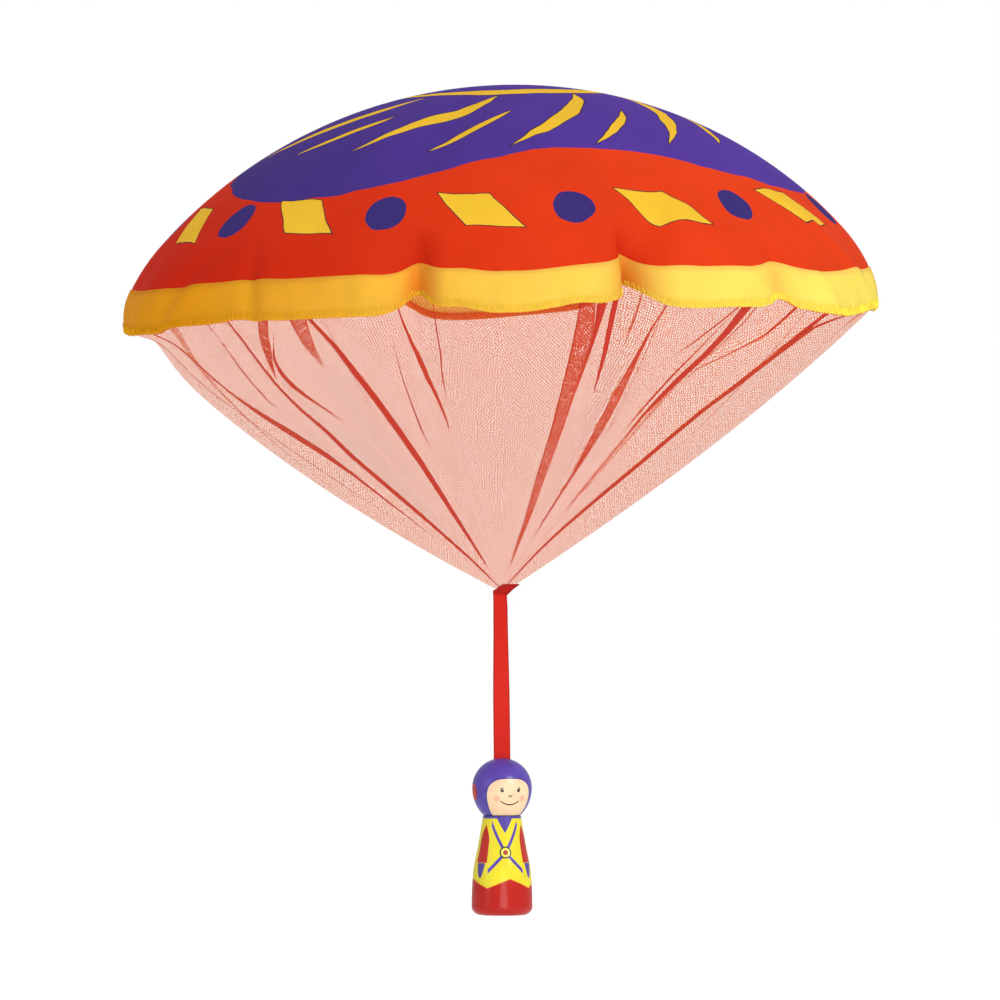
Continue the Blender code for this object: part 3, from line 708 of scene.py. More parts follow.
# Pleats: for each its stations on the way down, as share of the way, azimuth, width in mm, and how
# densely the net lies
PLEATS = (
    ((0.0, -72.0, 0.6, 0.1), (0.5, -58.0, 0.6, 0.1), (0.8, -49.0, 0.0, 0.0), (1.0, -45.0, 0.0, 0.0)),
    ((0.0, -64.0, 1.6, 0.6), (0.11, -61.0, 1.6, 0.6), (0.21, -58.5, 2.0, 0.7), (0.28, -55.8, 6.4, 0.4),
     (0.34, -52.7, 8.6, 0.4), (0.42, -48.8, 6.6, 0.5), (0.51, -46.0, 2.6, 0.6), (0.65, -43.3, 0.9, 0.5),
     (0.8, -40.5, 0.0, 0.0), (1.0, -36.0, 0.0, 0.0)),
    ((0.0, -49.0, 0.4, 0.4), (0.15, -50.5, 0.9, 0.4), (0.25, -51.0, 0.8, 0.4), (0.33, -49.0, 0.0, 0.0),
     (0.5, -44.3, 0.0, 0.0), (0.65, -41.8, 0.0, 0.0), (1.0, -33.0, 0.0, 0.0)),
    ((0.0, -44.9, 1.3, 0.7), (0.2, -45.3, 1.7, 0.8), (0.28, -44.6, 2.4, 0.8), (0.36, -42.6, 3.4, 0.7),
     (0.45, -41.8, 4.0, 0.7), (0.61, -38.2, 3.8, 0.7), (0.76, -34.5, 2.4, 0.8), (0.9, -30.5, 1.2, 0.7),
     (1.0, -28.0, 0.4, 0.5)),
    ((0.0, -38.0, 7.4, 0.2), (0.05, -40.0, 7.0, 0.2), (0.1, -41.5, 6.0, 0.2), (0.15, -43.2, 2.2, 0.4),
     (0.19, -44.4, 0.0, 0.0), (0.36, -41.2, 0.0, 0.0), (0.45, -40.3, 0.0, 0.0), (0.61, -36.5, 0.0, 0.0),
     (0.76, -32.8, 0.0, 0.0), (1.0, -26.5, 0.0, 0.0)),
    ((0.0, -35.5, 0.0, 0.5), (0.08, -38.9, 0.6, 0.6), (0.12, -40.9, 1.6, 0.6), (0.17, -41.7, 3.2, 0.6),
     (0.21, -41.3, 4.0, 0.6), (0.25, -39.8, 2.4, 0.6), (0.3, -37.2, 0.9, 0.6), (0.36, -34.8, 0.0, 0.0),
     (1.0, -25.5, 0.0, 0.0)),
    ((0.0, -31.2, 11.5, 0.1), (0.04, -31.6, 9.4, 0.1), (0.09, -31.9, 6.4, 0.1), (0.15, -31.6, 0.0, 0.0),
     (0.4, -31.0, 0.0, 0.0), (1.0, -23.0, 0.0, 0.0)),
    ((0.0, -29.2, 2.4, 0.9), (0.09, -27.2, 3.4, 0.9), (0.18, -26.0, 4.6, 0.8), (0.26, -24.8, 4.6, 0.8),
     (0.36, -23.6, 4.4, 0.7), (0.49, -22.2, 3.8, 0.7), (0.71, -20.6, 2.4, 0.8), (0.85, -19.5, 1.1, 0.8),
     (0.93, -18.5, 0.0, 0.5), (1.0, -18.0, 0.0, 0.0)),
    ((0.0, -17.4, 0.0, 0.0), (0.2, -18.3, 0.6, 0.3), (0.37, -18.5, 0.9, 0.3), (0.46, -18.2, 0.0, 0.0),
     (1.0, -15.5, 0.0, 0.0)),
    ((0.0, -16.3, 0.8, 0.7), (0.09, -15.4, 1.6, 0.6), (0.15, -14.5, 3.0, 0.5), (0.21, -13.9, 2.6, 0.5),
     (0.27, -13.0, 1.8, 0.6), (0.34, -12.3, 1.0, 0.5), (0.4, -12.2, 0.0, 0.0), (1.0, -11.5, 0.0, 0.0)),
    ((0.0, -11.3, 0.5, 0.3), (0.15, -11.1, 0.9, 0.3), (0.23, -11.6, 0.8, 0.2), (0.3, -11.5, 0.0, 0.0),
     (1.0, -9.0, 0.0, 0.0)),
    ((0.0, 12.9, 9.2, 0.15), (0.06, 13.2, 10.6, 0.15), (0.13, 13.4, 11.0, 0.15), (0.25, 13.2, 9.0, 0.15),
     (0.41, 13.0, 6.8, 0.15), (0.56, 12.5, 5.4, 0.15), (0.71, 12.4, 3.2, 0.2), (0.84, 11.6, 1.4, 0.4),
     (0.93, 11.0, 0.0, 0.0)),
    ((0.0, 14.9, 6.0, 0.9), (0.06, 15.15, 3.4, 0.9), (0.13, 15.26, 1.4, 0.9), (0.22, 15.0, 0.8, 0.8),
     (0.3, 14.8, 0.0, 0.0), (1.0, 13.2, 0.0, 0.0)),
    ((0.0, 16.5, 3.2, 0.95), (0.06, 17.3, 3.2, 0.95), (0.16, 18.4, 2.6, 0.9), (0.23, 18.8, 1.3, 0.8),
     (0.3, 19.3, 0.0, 0.0), (1.0, 18.5, 0.0, 0.0)),
    ((0.0, 21.9, 0.8, 0.1), (0.05, 22.2, 1.4, 0.1), (0.1, 22.2, 1.6, 0.1), (0.16, 22.1, 0.0, 0.0),
     (0.3, 22.0, 0.0, 0.0), (1.0, 20.2, 0.0, 0.0)),
    ((0.0, 24.8, 0.8, 0.8), (0.07, 24.1, 1.0, 0.8), (0.15, 23.9, 2.4, 0.5), (0.22, 23.8, 4.4, 0.2),
     (0.28, 23.7, 5.8, 0.15), (0.38, 23.6, 5.6, 0.15), (0.49, 23.3, 3.4, 0.3), (0.56, 23.0, 1.4, 0.6),
     (0.72, 21.6, 0.8, 0.8), (0.84, 21.0, 0.0, 0.0)),
    ((0.0, 36.8, 1.1, 0.6), (0.05, 35.2, 1.1, 0.6), (0.12, 32.5, 1.0, 0.5), (0.16, 30.2, 0.0, 0.0),
     (0.3, 28.8, 0.0, 0.0), (1.0, 24.0, 0.0, 0.0)),
    ((0.0, 37.1, 0.0, 0.0), (0.05, 36.2, 0.4, 0.5), (0.13, 34.8, 0.8, 0.6), (0.22, 33.0, 1.4, 0.6),
     (0.34, 31.2, 1.2, 0.4), (0.42, 30.4, 0.0, 0.0), (1.0, 25.5, 0.0, 0.0)),
    ((0.0, 38.4, 7.0, 0.85), (0.08, 38.0, 5.3, 0.9), (0.15, 37.0, 4.5, 0.9), (0.23, 35.0, 4.2, 0.8),
     (0.29, 33.8, 3.4, 0.8), (0.36, 32.6, 1.8, 0.5), (0.43, 32.2, 2.0, 0.0), (0.6, 30.6, 1.6, 0.0),
     (0.72, 29.5, 0.0, 0.0), (1.0, 26.5, 0.0, 0.0)),
    ((0.0, 40.6, 0.8, 0.6), (0.05, 40.3, 0.8, 0.6), (0.1, 39.3, 0.7, 0.5), (0.14, 38.6, 0.0, 0.0),
     (0.2, 37.0, 0.0, 0.0), (0.25, 36.0, 0.0, 0.0), (0.45, 33.8, 0.0, 0.0), (1.0, 27.2, 0.0, 0.0)),
    ((0.0, 49.5, 2.6, 0.9), (0.05, 48.6, 2.6, 0.9), (0.09, 47.6, 1.8, 0.9), (0.14, 43.5, 1.2, 0.8),
     (0.2, 38.0, 0.9, 0.6), (0.25, 36.7, 0.0, 0.0), (0.45, 34.6, 0.0, 0.0), (1.0, 28.0, 0.0, 0.0)),
    ((0.0, 54.2, 5.0, 0.85), (0.05, 53.4, 5.0, 0.9), (0.09, 52.6, 3.6, 0.9), (0.12, 51.8, 1.6, 0.8),
     (0.16, 50.6, 0.0, 0.0), (0.26, 48.4, 0.0, 0.0), (0.44, 44.4, 0.0, 0.0), (0.6, 40.6, 0.0, 0.0),
     (0.78, 34.0, 0.0, 0.0), (1.0, 29.0, 0.0, 0.0)),
    ((0.0, 64.0, 2.4, 0.9), (0.02, 59.5, 4.0, 0.9), (0.05, 55.9, 5.0, 0.9), (0.1, 54.6, 5.6, 0.85),
     (0.16, 53.0, 6.0, 0.85), (0.26, 50.8, 5.6, 0.8), (0.33, 48.6, 4.6, 0.8), (0.43, 46.7, 4.4, 0.75),
     (0.51, 45.3, 4.2, 0.75), (0.6, 43.0, 4.0, 0.7), (0.7, 40.0, 3.0, 0.7), (0.78, 37.0, 2.2, 0.8),
     (0.86, 34.5, 1.4, 0.8), (1.0, 31.0, 0.6, 0.5)),
    ((0.0, 118.0, 0.5, 0.0), (0.3, 117.0, 0.6, 0.0), (0.6, 116.0, 0.0, 0.0)),
    ((0.0, 152.0, 0.5, 0.0), (0.35, 151.0, 0.6, 0.0), (0.6, 150.0, 0.0, 0.0)),
    ((0.0, -150.0, 0.5, 0.0), (0.3, -150.0, 0.6, 0.0), (0.55, -150.0, 0.0, 0.0)),
)
# A pleat's columns in the order that the cloth runs: across it, back under and across again, with a plain
# edge either side
PLEAT_PLACES = np.array([-1.04, -1, -0.7, 0.7, 1, 1, 0.7, -0.7, -1, -1, -0.7, 0.7, 1, 1.04])
PLEAT_LAYERS = np.array([0, 0, 0, 0, 0, 1, 1, 1, 1, 2, 2, 2, 2, 2])
PLEAT_CLOTH = np.array([-0.02, 0, 0.15, 0.85, 1, 1, 1.15, 1.85, 2, 2, 2.15, 2.85, 3, 1.02]) - 0.5
PLEAT_EDGES = np.array([0, 1, 0, 0, 1, 1, 0, 0, 1, 1, 0, 0, 1, 0])

RIM_RADIUS, RIM_HEIGHT = (float(value) for value in meridian(CANOPY_FLAT_RADIUS))
NECK_BOTTOM = RIM_HEIGHT - NET_DROP
net_slope = math.atan2(NET_DROP, RIM_RADIUS - NECK_HALF_WIDTH)
slant_length = math.hypot(NET_DROP, RIM_RADIUS - NECK_HALF_WIDTH)


def net_columns():
    """The columns of the net's grid, sorted round it: plain ones, and where a pleat lies its own.

    For each column, its azimuth at the rim, the number of its pleat (or -1), and its place in PLEAT_PLACES.
    """
    centres = np.radians([pleat[0][1] for pleat in PLEATS])
    plain = -math.pi + np.arange(NET_COLUMNS) * 2 * math.pi / NET_COLUMNS
    reach = np.array([max(station[2] for station in pleat) for pleat in PLEATS]) / 2000 / RIM_RADIUS + 0.004
    gap = np.abs((plain[:, None] - centres + math.pi) % (2 * math.pi) - math.pi)
    plain = plain[(gap > reach).all(1)]
    count = len(PLEAT_PLACES)
    azimuth = np.concatenate([plain, np.repeat(centres, count)])
    pleat = np.concatenate([np.full(len(plain), -1), np.repeat(np.arange(len(PLEATS)), count)])
    place = np.concatenate([np.zeros(len(plain), int), np.tile(np.arange(count), len(PLEATS))])
    order = np.argsort(azimuth, kind="stable")
    return azimuth[order], pleat[order], place[order]


def pleat_stations(share):
    """Each pleat's azimuth at the rim, and its swing, width and density at shares of the way down."""
    stations = [np.array(pleat).T for pleat in PLEATS]
    centres = np.radians([s[1, 0] for s in stations])
    swing = np.radians([np.interp(share, s[0], s[1] - s[1, 0]) for s in stations])
    width = np.array([np.interp(share, s[0], s[2]) for s in stations]).T / 1000
    density = np.array([np.interp(share, s[0], s[3]) for s in stations]).T
    return centres, swing, width, density


def swung_round(azimuth, centres, swing):
    """How far the net swings round: as each pleat's line does, and in proportion between two lines."""
    order = np.argsort(centres)
    centres, swing = centres[order], swing[order]
    ring = np.concatenate([centres[-1:] - 2 * math.pi, centres, centres[:1] + 2 * math.pi])
    turned = np.concatenate([swing[-1:], swing, swing[:1]])
    return np.array([np.interp(azimuth, ring, row) for row in turned.T])


def on_ring(radius, azimuth, height):
    """Points at a radius from the toy's middle line, an azimuth and a height."""
    return np.stack([radius * np.sin(azimuth), -radius * np.cos(azimuth), height], -1)


def plain_net(azimuth, swung, down):
    """Radius, height and azimuth of the net without pleats, at shares of the way down.

    It runs straight from the rim, whose folds fade on the way, to an oval neck, and bulges between as a
    parabola, less at the left and below the rim's folds, and held in just below the rim at the left side.
    """
    top = canopy_point(azimuth, CANOPY_FLAT_RADIUS, -NET_STAND_IN)
    rim_turn = (np.arctan2(top[:, 0], -top[:, 1]) - azimuth + math.pi) % (2 * math.pi) - math.pi
    turn = azimuth + swung + rim_turn * (1 - down) ** LEAN_FADE
    rim_fade = (1 - down) ** RIM_SHAPE_FADE
    rim_folded = np.hypot(top[:, 0], top[:, 1]) - RIM_RADIUS
    rim_lifted = FOLD_LIFT * folding(azimuth)
    rim_height = top[:, 2] - rim_lifted
    oval = np.hypot(NECK_HALF_DEPTH * np.sin(turn), NECK_HALF_WIDTH * np.cos(turn))
    oval = NECK_HALF_WIDTH * NECK_HALF_DEPTH / oval
    belly = 4 * down * (1 - down)
    bulge = NET_BULGE * belly * (1 - NET_BULGE_LEFT_SHARE * np.sin(azimuth))
    bulge = bulge - NET_FOLD_DEPTH * belly * folding(azimuth)
    held_share = down / NET_HELD_IN_SHARE
    held_place = np.exp(-((turned_from(azimuth, NET_HELD_IN_DEG) / NET_HELD_IN_WIDTH_DEG) ** 2))
    bulge = bulge - NET_HELD_IN * held_place * held_share**2 * np.exp(2 * (1 - held_share))
    radius = RIM_RADIUS + (oval - RIM_RADIUS) * down + rim_folded * rim_fade + math.sin(net_slope) * bulge
    height = rim_height + (NECK_BOTTOM - rim_height) * down + rim_lifted * rim_fade
    return radius, height - math.cos(net_slope) * bulge, turn


def unrolled(middle, azimuth, cloth):
    """The net's flat pattern: unrolled round its tip, with true lengths round it and down it.

    Lengths round it start at the front, and each pleat's own cloth lies beside its line.
    """
    middle, cloth = (np.concatenate([values, values[:, :1]], axis=1) for values in (middle, cloth))
    round_net = np.cumsum(np.linalg.norm(np.diff(middle, axis=1), axis=2), axis=1)
    round_net = np.concatenate([np.zeros((len(middle), 1)), round_net], axis=1)
    round_net = round_net - round_net[:, [np.argmin(np.abs(azimuth))]]
    ring_radius = np.hypot(middle[..., 0], middle[..., 1])
    steps_up = np.hypot(np.diff(ring_radius[::-1], axis=0), np.diff(middle[::-1, :, 2], axis=0))
    up_net = np.cumsum(steps_up, axis=0)[::-1]
    from_tip = np.concatenate([up_net, up_net[-1:] * 0]) + NECK_HALF_WIDTH / math.cos(net_slope)
    turn = (round_net + cloth) / from_tip
    return np.stack([from_tip * np.sin(turn), -from_tip * np.cos(turn)], -1)


def net_grid(share):
    """The net at shares of the way from rim to throat: its points, flat pattern, density and pleats.

    A pleat's columns stand half its width either side of its line, and its layers one outside the other.
    """
    azimuth, pleat, place = net_columns()
    tables = (PLEAT_PLACES, PLEAT_LAYERS, PLEAT_CLOTH, PLEAT_EDGES)
    across, layer, cloth, edge = (np.where(pleat >= 0, values[place], 0) for values in tables)
    centres, swing, width, density = pleat_stations(share)
    none = np.zeros((len(share), 1))
    width, density = (np.concatenate([values, none], axis=1)[:, pleat] for values in (width, density))
    swung = swung_round(azimuth, centres, swing)
    radius, height, turn = plain_net(azimuth, swung, share[:, None])
    flat = unrolled(on_ring(radius, turn, height), azimuth, cloth * width)
    layer_out = layer * PLEAT_LAYER_GAP * np.minimum(width / PLEAT_APART_WIDTH, 1)
    radius = radius + math.sin(net_slope) * layer_out
    height = height - math.cos(net_slope) * layer_out
    turn = turn + across * width / 2 / radius
    density = density + PLEAT_EDGE_SHARE * edge * (1 - density)
    inside = (np.abs(across) <= 1) & (pleat >= 0)
    pleated = inside * np.minimum(width / PLEAT_SHOWN_WIDTH, 1)
    return on_ring(radius, turn, height), flat, density * pleated, pleated


# Nylon tulle: a hexagonal mesh of fine thread, seen through everywhere else. Where it is pleated, its
# layers lie offset, which shows as a denser mesh. Real tulle's mesh is about 1 mm and its thread 0.1 mm:
# both are drawn coarser. The thread is itself a little clear, so that it glows red before a light ground
# and deepens from layer to layer.
THREAD_CLEARNESS = 0.45
THREAD_TINT = (1.0, 0.44, 0.18, 1.0)
DENSE_THREADS = 4.3
CLUMP_MM = 2.6
CLUMP_DEPTH = 0.03
tulle, tree, shader = finish_of("red nylon tulle", 0.7, Specular_IOR_Level=0.2)
even_cells = flat_pattern(tree, 1000.0 / MESH_PITCH_MM)
pulled = add(tree, "TexNoise", even_cells, None, 0.3, 1.0)
centred = add(tree, "VectorMath", pulled.outputs["Color"], (0.5, 0.5, 0.5), operation="SUBTRACT")
pull = (MESH_PULL, MESH_PULL, 0.0)
in_cells = add(tree, "VectorMath", centred, pull, even_cells, operation="MULTIPLY_ADD")
half_cell = np.array([0.5, math.sqrt(3) / 2, 0.5])
first = add(tree, "VectorMath", in_cells, half_cell, -half_cell, operation="WRAP")
moved = add(tree, "VectorMath", in_cells, half_cell * (1, 1, 0), operation="ADD")
second = add(tree, "VectorMath", moved, half_cell, -half_cell, operation="WRAP")
first_away = add(tree, "VectorMath", first, operation="LENGTH").outputs["Value"]
second_away = add(tree, "VectorMath", second, operation="LENGTH").outputs["Value"]
second_nearer = add(tree, "Math", second_away, first_away, operation="LESS_THAN")
nearer = add(tree, "MixRGB", second_nearer, first, second)
folded = add(tree, "VectorMath", nearer, operation="ABSOLUTE")
slanted = add(tree, "VectorMath", folded, (0.5, math.sqrt(3) / 2, 0.0), operation="DOT_PRODUCT")
upright = add(tree, "SeparateXYZ", folded)
to_side = add(tree, "Math", slanted.outputs["Value"], upright.outputs["X"], operation="MAXIMUM")
dense = add(tree, "Attribute", attribute_name="dense").outputs["Fac"]
half_thread = MESH_THREAD_MM / MESH_PITCH_MM / 2
dense_thread = DENSE_THREADS * half_thread
open_share = add(tree, "MapRange", dense, 0.0, 1.0, 0.5 - half_thread, 0.5 - dense_thread)
clumping = add(tree, "TexNoise", flat_pattern(tree, 1000.0 / CLUMP_MM), None, 1.0, 2.0)
clumped = add(tree, "MapRange", clumping, 0.3, 0.7, -CLUMP_DEPTH, CLUMP_DEPTH)
uneven_share = add(tree, "Math", open_share, clumped, operation="ADD")
# In the pleats the thread is painted darker and redder, as shade between its layers
pleat_shade = add(tree, "Attribute", attribute_name="pleated").outputs["Fac"]
colour_with(tree, shader, add(tree, "MixRGB", pleat_shade, linear("EA6A34"), linear("D8483C")))
thread = add(tree, "Math", to_side, uneven_share, operation="GREATER_THAN")
clear = add(tree, "BsdfTransparent")
see_through = add(tree, "BsdfTransparent", THREAD_TINT)
thin = add(tree, "MixShader", THREAD_CLEARNESS, shader.outputs[0], see_through)
mesh = add(tree, "MixShader", thread, clear, thin)
tree.links.new(mesh.outputs[0], tree.nodes["Material Output"].inputs["Surface"])

net_share = np.linspace(0, 1, NET_ROWS) ** 0.9
net_points, net_flat, net_dense, net_pleated = net_grid(net_share)
tuck = canopy_point(net_columns()[0], CANOPY_FLAT_RADIUS - NET_TUCK, -NET_STAND_IN)
tuck_flat = net_flat[0] * (1 + NET_TUCK / slant_length)
net_points = np.concatenate([tuck[None], net_points])
net_flat = np.concatenate([tuck_flat[None], net_flat])
net_dense, net_pleated = (np.concatenate([mark[:1], mark]) for mark in (net_dense, net_pleated))
net = surface("net_of_tulle", net_points, uv=net_flat, marks={"dense": net_dense, "pleated": net_pleated})
net.data.materials.append(tulle)
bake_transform(net)
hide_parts("net_cone", "net_neck")

# Tail of the net: below the throat the net's gathered middle is a tight bundle that goes on into the
# ribbon's fold.
SWAY_PIVOT = NECK_BOTTOM - 0.0015
TAIL_HALF_WIDTH = 0.0030
TAIL_DEPTH_SHARE = 0.42
TAIL_PLACE = -0.0009
TAIL_BOTTOM = SWAY_PIVOT - 0.0075
TAIL_PLEATS = 13

gathered_tulle = mottled("gathered red tulle", 0.8, 900.0, "B8301A", "E2573A")
tail_azimuth = np.arange(96) / 96 * 2 * math.pi - math.pi
tail_down = np.linspace(0, 1, 30)[:, None]
pleating = 1 + 0.09 * np.cos(TAIL_PLEATS * tail_azimuth + 1.5 * tail_down)
pleating = pleating + 0.04 * np.cos(29 * tail_azimuth)
ball = np.sqrt(np.clip(1 - (1 - np.minimum(tail_down * 2.4, 1)) ** 2, 0, 1))
taper = np.sqrt(np.clip(1 - np.maximum(tail_down - 0.9, 0) ** 2 * 100, 0, 1)) * (1 - 0.25 * tail_down)
tail_radius = TAIL_HALF_WIDTH * pleating * ball * taper
tail_height = SWAY_PIVOT + (TAIL_BOTTOM - SWAY_PIVOT) * tail_down
tail_x = TAIL_PLACE + tail_radius * np.sin(tail_azimuth)
tail_y = -tail_radius * np.cos(tail_azimuth) * TAIL_DEPTH_SHARE
tail_points = np.stack([tail_x, tail_y, np.broadcast_to(tail_height, tail_x.shape)], -1)
tail = surface("net_tail_bundle", tail_points, poles=("first", "last"))
tail.data.materials.append(gathered_tulle)
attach(tail, "gather")
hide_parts("net_tail")

# Ribbon: one flat red satin ribbon 10 mm wide. It is folded slantwise over the net's tail and sewn, hangs
# with a slight turn, and is glued into a slot in the head. It is in three pieces, cut where the toy's
# joints leave it straight.
RIBBON_WIDTH = 0.010
RIBBON_THICKNESS = 0.0005
TOP_CUT = -0.3365
FOOT_CUT = -0.3795
RIBBON_END = -0.4165
RIBBON_COLUMNS = 17
FOLD_END = -0.318
TURN_END = -0.400
TURN_DEG = 33
DRIFT = -0.0009
# Left and right edge of the fold at stations: up the back, over the top, and slantwise down the front
FOLD_STATIONS = (
    ((-0.0046, 0.0012, -0.3150), (0.0022, 0.0016, -0.3150)),
    ((-0.0048, 0.0020, -0.3110), (0.0022, 0.0024, -0.3112)),
    ((-0.0048, 0.0034, -0.3070), (0.0024, 0.0034, -0.3072)),
    ((-0.0036, 0.0042, -0.3028), (0.0056, 0.0042, -0.3038)),
    ((-0.0004, 0.0038, -0.3000), (0.0096, 0.0034, -0.3001)),
    ((-0.0001, 0.0000, -0.2996), (0.0103, 0.0000, -0.2997)),
    ((-0.0004, -0.0042, -0.3000), (0.0100, -0.0036, -0.3001)),
    ((-0.0036, -0.0046, -0.3022), (0.0064, -0.0044, -0.3029)),
    ((-0.0053, -0.0044, -0.3036), (0.0033, -0.0040, -0.3050)),
    ((-0.0053, -0.0037, -0.3065), (0.0030, -0.0022, -0.3068)),
    ((-0.0051, -0.0027, -0.3130), (0.0033, 0.0008, -0.3135)),
    ((-0.0051, -0.0027, -0.3180), (0.0033, 0.0026, -0.3180)),
)

# Satin ribbon: fine crosswise ribs, darker towards both edges, painted shade on the flap that faces down,
# and a soft sheen
ribbon_satin, tree, shader = finish_of("red satin ribbon", 0.55, Specular_IOR_Level=0.15)
in_mm = flat_pattern(tree)
axes = add(tree, "SeparateXYZ", in_mm)
from_middle = add(tree, "Math", axes.outputs["X"], operation="ABSOLUTE")
toward_edge = add(tree, "MapRange", from_middle, 3.9, 4.9, 0.0, 1.0)
blotchy_colour = varied(tree, linear("CC2012"), in_mm, 0.25, 3.0, 0.93, 1.05)
edge_darkened = add(tree, "MixRGB", toward_edge, blotchy_colour, linear("A8160C"))
colour_with(tree, shader, shaded_by_mark(tree, edge_darkened, "shaded", (0.68, 0.48, 0.42, 1.0)))
ribs = add(tree, "TexWave", in_mm, 0.5, bands_direction="Y")
emboss(tree, shader, ribs.outputs["Fac"], 0.25, 0.0001)


def smooth_line(points, steps):
    """A curve through all the points (Catmull-Rom), with a number of steps for each stretch."""
    points = np.array(points, float)
    ends = np.concatenate([2 * points[:1] - points[1:2], points, 2 * points[-1:] - points[-2:-1]])
    step = np.arange(steps * (len(points) - 1) + 1) / steps
    first = np.minimum(step.astype(int), len(points) - 2)
    t = (step - first).reshape(-1, *[1] * (points.ndim - 1))
    before, start, end, after = (ends[first + i] for i in range(4))
    curve = start + t * (end - before) / 2
    curve = curve + t**2 * (2 * before - 5 * start + 4 * end - after) / 2
    return curve + t**3 * (3 * start - before - 3 * end + after) / 2


def hanging_edges(height):
    """Both edges of the hanging ribbon at heights: its middle drifts and its turn eases off."""
    share = np.clip((height - FOLD_END) / (TURN_END - FOLD_END), 0, 1)
    turn = np.radians(TURN_DEG) * (1 - smooth_step(share))
    middle = DRIFT * (1 - share)
    side = RIBBON_WIDTH / 2 * np.stack([np.cos(turn), np.sin(turn), 0 * turn], -1)
    centre = np.stack([middle, 0 * middle, height], -1)
    return np.stack([centre - side, centre + side], 1)


def ribbon_piece(name, edges, shaded=0):
    """A strip of ribbon between two edges. Its width and its length along the middle are its flat pattern.

    Shaded says, row by row, how much painted shade darkens it.
    """
    across = np.linspace(-1, 1, RIBBON_COLUMNS)
    left, right = edges[:, :1], edges[:, 1:]
    points = left + (right - left) * (across[None, :, None] + 1) / 2
    middle = points[:, RIBBON_COLUMNS // 2]
    along = np.append(0, np.cumsum(np.linalg.norm(np.diff(middle, axis=0), axis=1)))
    flat = np.stack(np.meshgrid(across * RIBBON_WIDTH / 2, along), -1)
    shading = np.zeros(points.shape[:2]) + np.reshape(shaded, (-1, 1))
    piece = surface(name, points, closed=False, uv=flat, marks={"shaded": shading})
    thicken(piece, RIBBON_THICKNESS)
    piece.data.materials.append(ribbon_satin)
    return piece


FOLD_STEPS = 12
FLAP_FROM_TO = (4.5, 8.9)
fold_edges = smooth_line(FOLD_STATIONS, FOLD_STEPS)
# The rows of points lie close at a cut, so that the shading of its edge stays too narrow to show
between_cuts = np.concatenate([[0], np.linspace(0.001, 0.999, 88), [1]])
below_fold = FOLD_END + (TOP_CUT - FOLD_END) * np.concatenate([np.linspace(0, 0.998, 40)[1:], [1]])
top_edges = np.concatenate([fold_edges, hanging_edges(below_fold)])
# The slanting flap at the front faces down, and painted shade darkens it from the fold's top to where it
# turns down
flap = np.arange(len(top_edges)) / FOLD_STEPS
flap_shade = smooth_step((flap - FLAP_FROM_TO[0]) * 2) * smooth_step((FLAP_FROM_TO[1] - flap) * 2)
ribbon_top = ribbon_piece("ribbon_fold_and_top", top_edges, flap_shade)
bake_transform(ribbon_top)
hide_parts("ribbon_fold", "ribbon_upper")
ribbon_middle = ribbon_piece("ribbon_middle", hanging_edges(TOP_CUT + (FOOT_CUT - TOP_CUT) * between_cuts))
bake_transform(ribbon_middle)
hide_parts("ribbon_upper", "ribbon_lower")
ribbon_foot = ribbon_piece("ribbon_foot", hanging_edges(FOOT_CUT + (RIBBON_END - FOOT_CUT) * between_cuts))
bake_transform(ribbon_foot)
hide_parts("ribbon_lower", "ribbon_end")

# Doll's head: turned from beech, dipped purple for a pilot's cap, with a painted face and ear pads. A
# sawn slot in its top holds the ribbon, and a bore below takes the dowel.
HEAD_RADIUS = 0.0179
HEAD_UPPER_HEIGHT = 0.0176
HEAD_LOWER_HEIGHT = 0.0212
NECK_RADIUS = 0.0113
HEAD_TOP = -0.403838
HEAD_MIDDLE = -0.421438
HEAD_BOTTOM = -0.437879
SLOT_HALF_WIDTH = 0.0056
SLOT_HALF_DEPTH = 0.0008
SLOT_DEPTH = 0.0135
BORE_RADIUS = 0.0043
BORE_DEPTH = 0.009
CROWN_SIDE_DEG = 38
FACE_TURN_DEG = 17.0
EDGE_ROUNDING = 0.0003


def painted_wood(name, ground, coats):
    """Gloss paint on wood: a ground colour, then each coat where its mark is above 0, with brush marks."""
    gloss = {"Specular_IOR_Level": 0.08, "Coat_Weight": 0.45, "Coat_Roughness": 0.15}
    made, tree, shader = finish_of(name, 0.4, **gloss)
    colour = linear(ground)
    for mark, hex_colour in coats:
        inside = add(tree, "Attribute", attribute_name=mark).outputs["Fac"]
        cover = add(tree, "MapRange", inside, -0.06, 0.06, 0.0, 1.0)
        colour = add(tree, "MixRGB", cover, colour, linear(hex_colour))
    place = object_place(tree)
    colour_with(tree, shader, varied(tree, colour, place, 140.0, 3.0, 0.93, 1.04))
    brushed = add(tree, "TexNoise", place, None, 420.0, 2.0)
    emboss(tree, shader, brushed.outputs[0], 0.10, 0.0003)
    return made


def crowded(low, high, count, centre, half_width, extra):
    """Numbers from low to high that lie closer together round a centre."""
    fine = np.linspace(low, high, 4001)
    density = 1 + extra * np.exp(-(((fine - centre) / half_width) ** 4))
    return crowded_by(density, fine, np.linspace(0, 1, count))


def slot_outline(azimuth):
    """The slot's outline, a rectangle: a point's way round it is its azimuth's share of a turn."""
    round_turn = np.abs(azimuth)
    quarter = np.minimum(round_turn, math.pi - round_turn) / (math.pi / 2)
    along = quarter * (SLOT_HALF_WIDTH + SLOT_HALF_DEPTH)
    x = np.sign(azimuth) * np.minimum(along, SLOT_HALF_WIDTH)
    y = SLOT_HALF_DEPTH - np.maximum(along - SLOT_HALF_WIDTH, 0)
    return x, np.where(round_turn < math.pi / 2, -y, y)


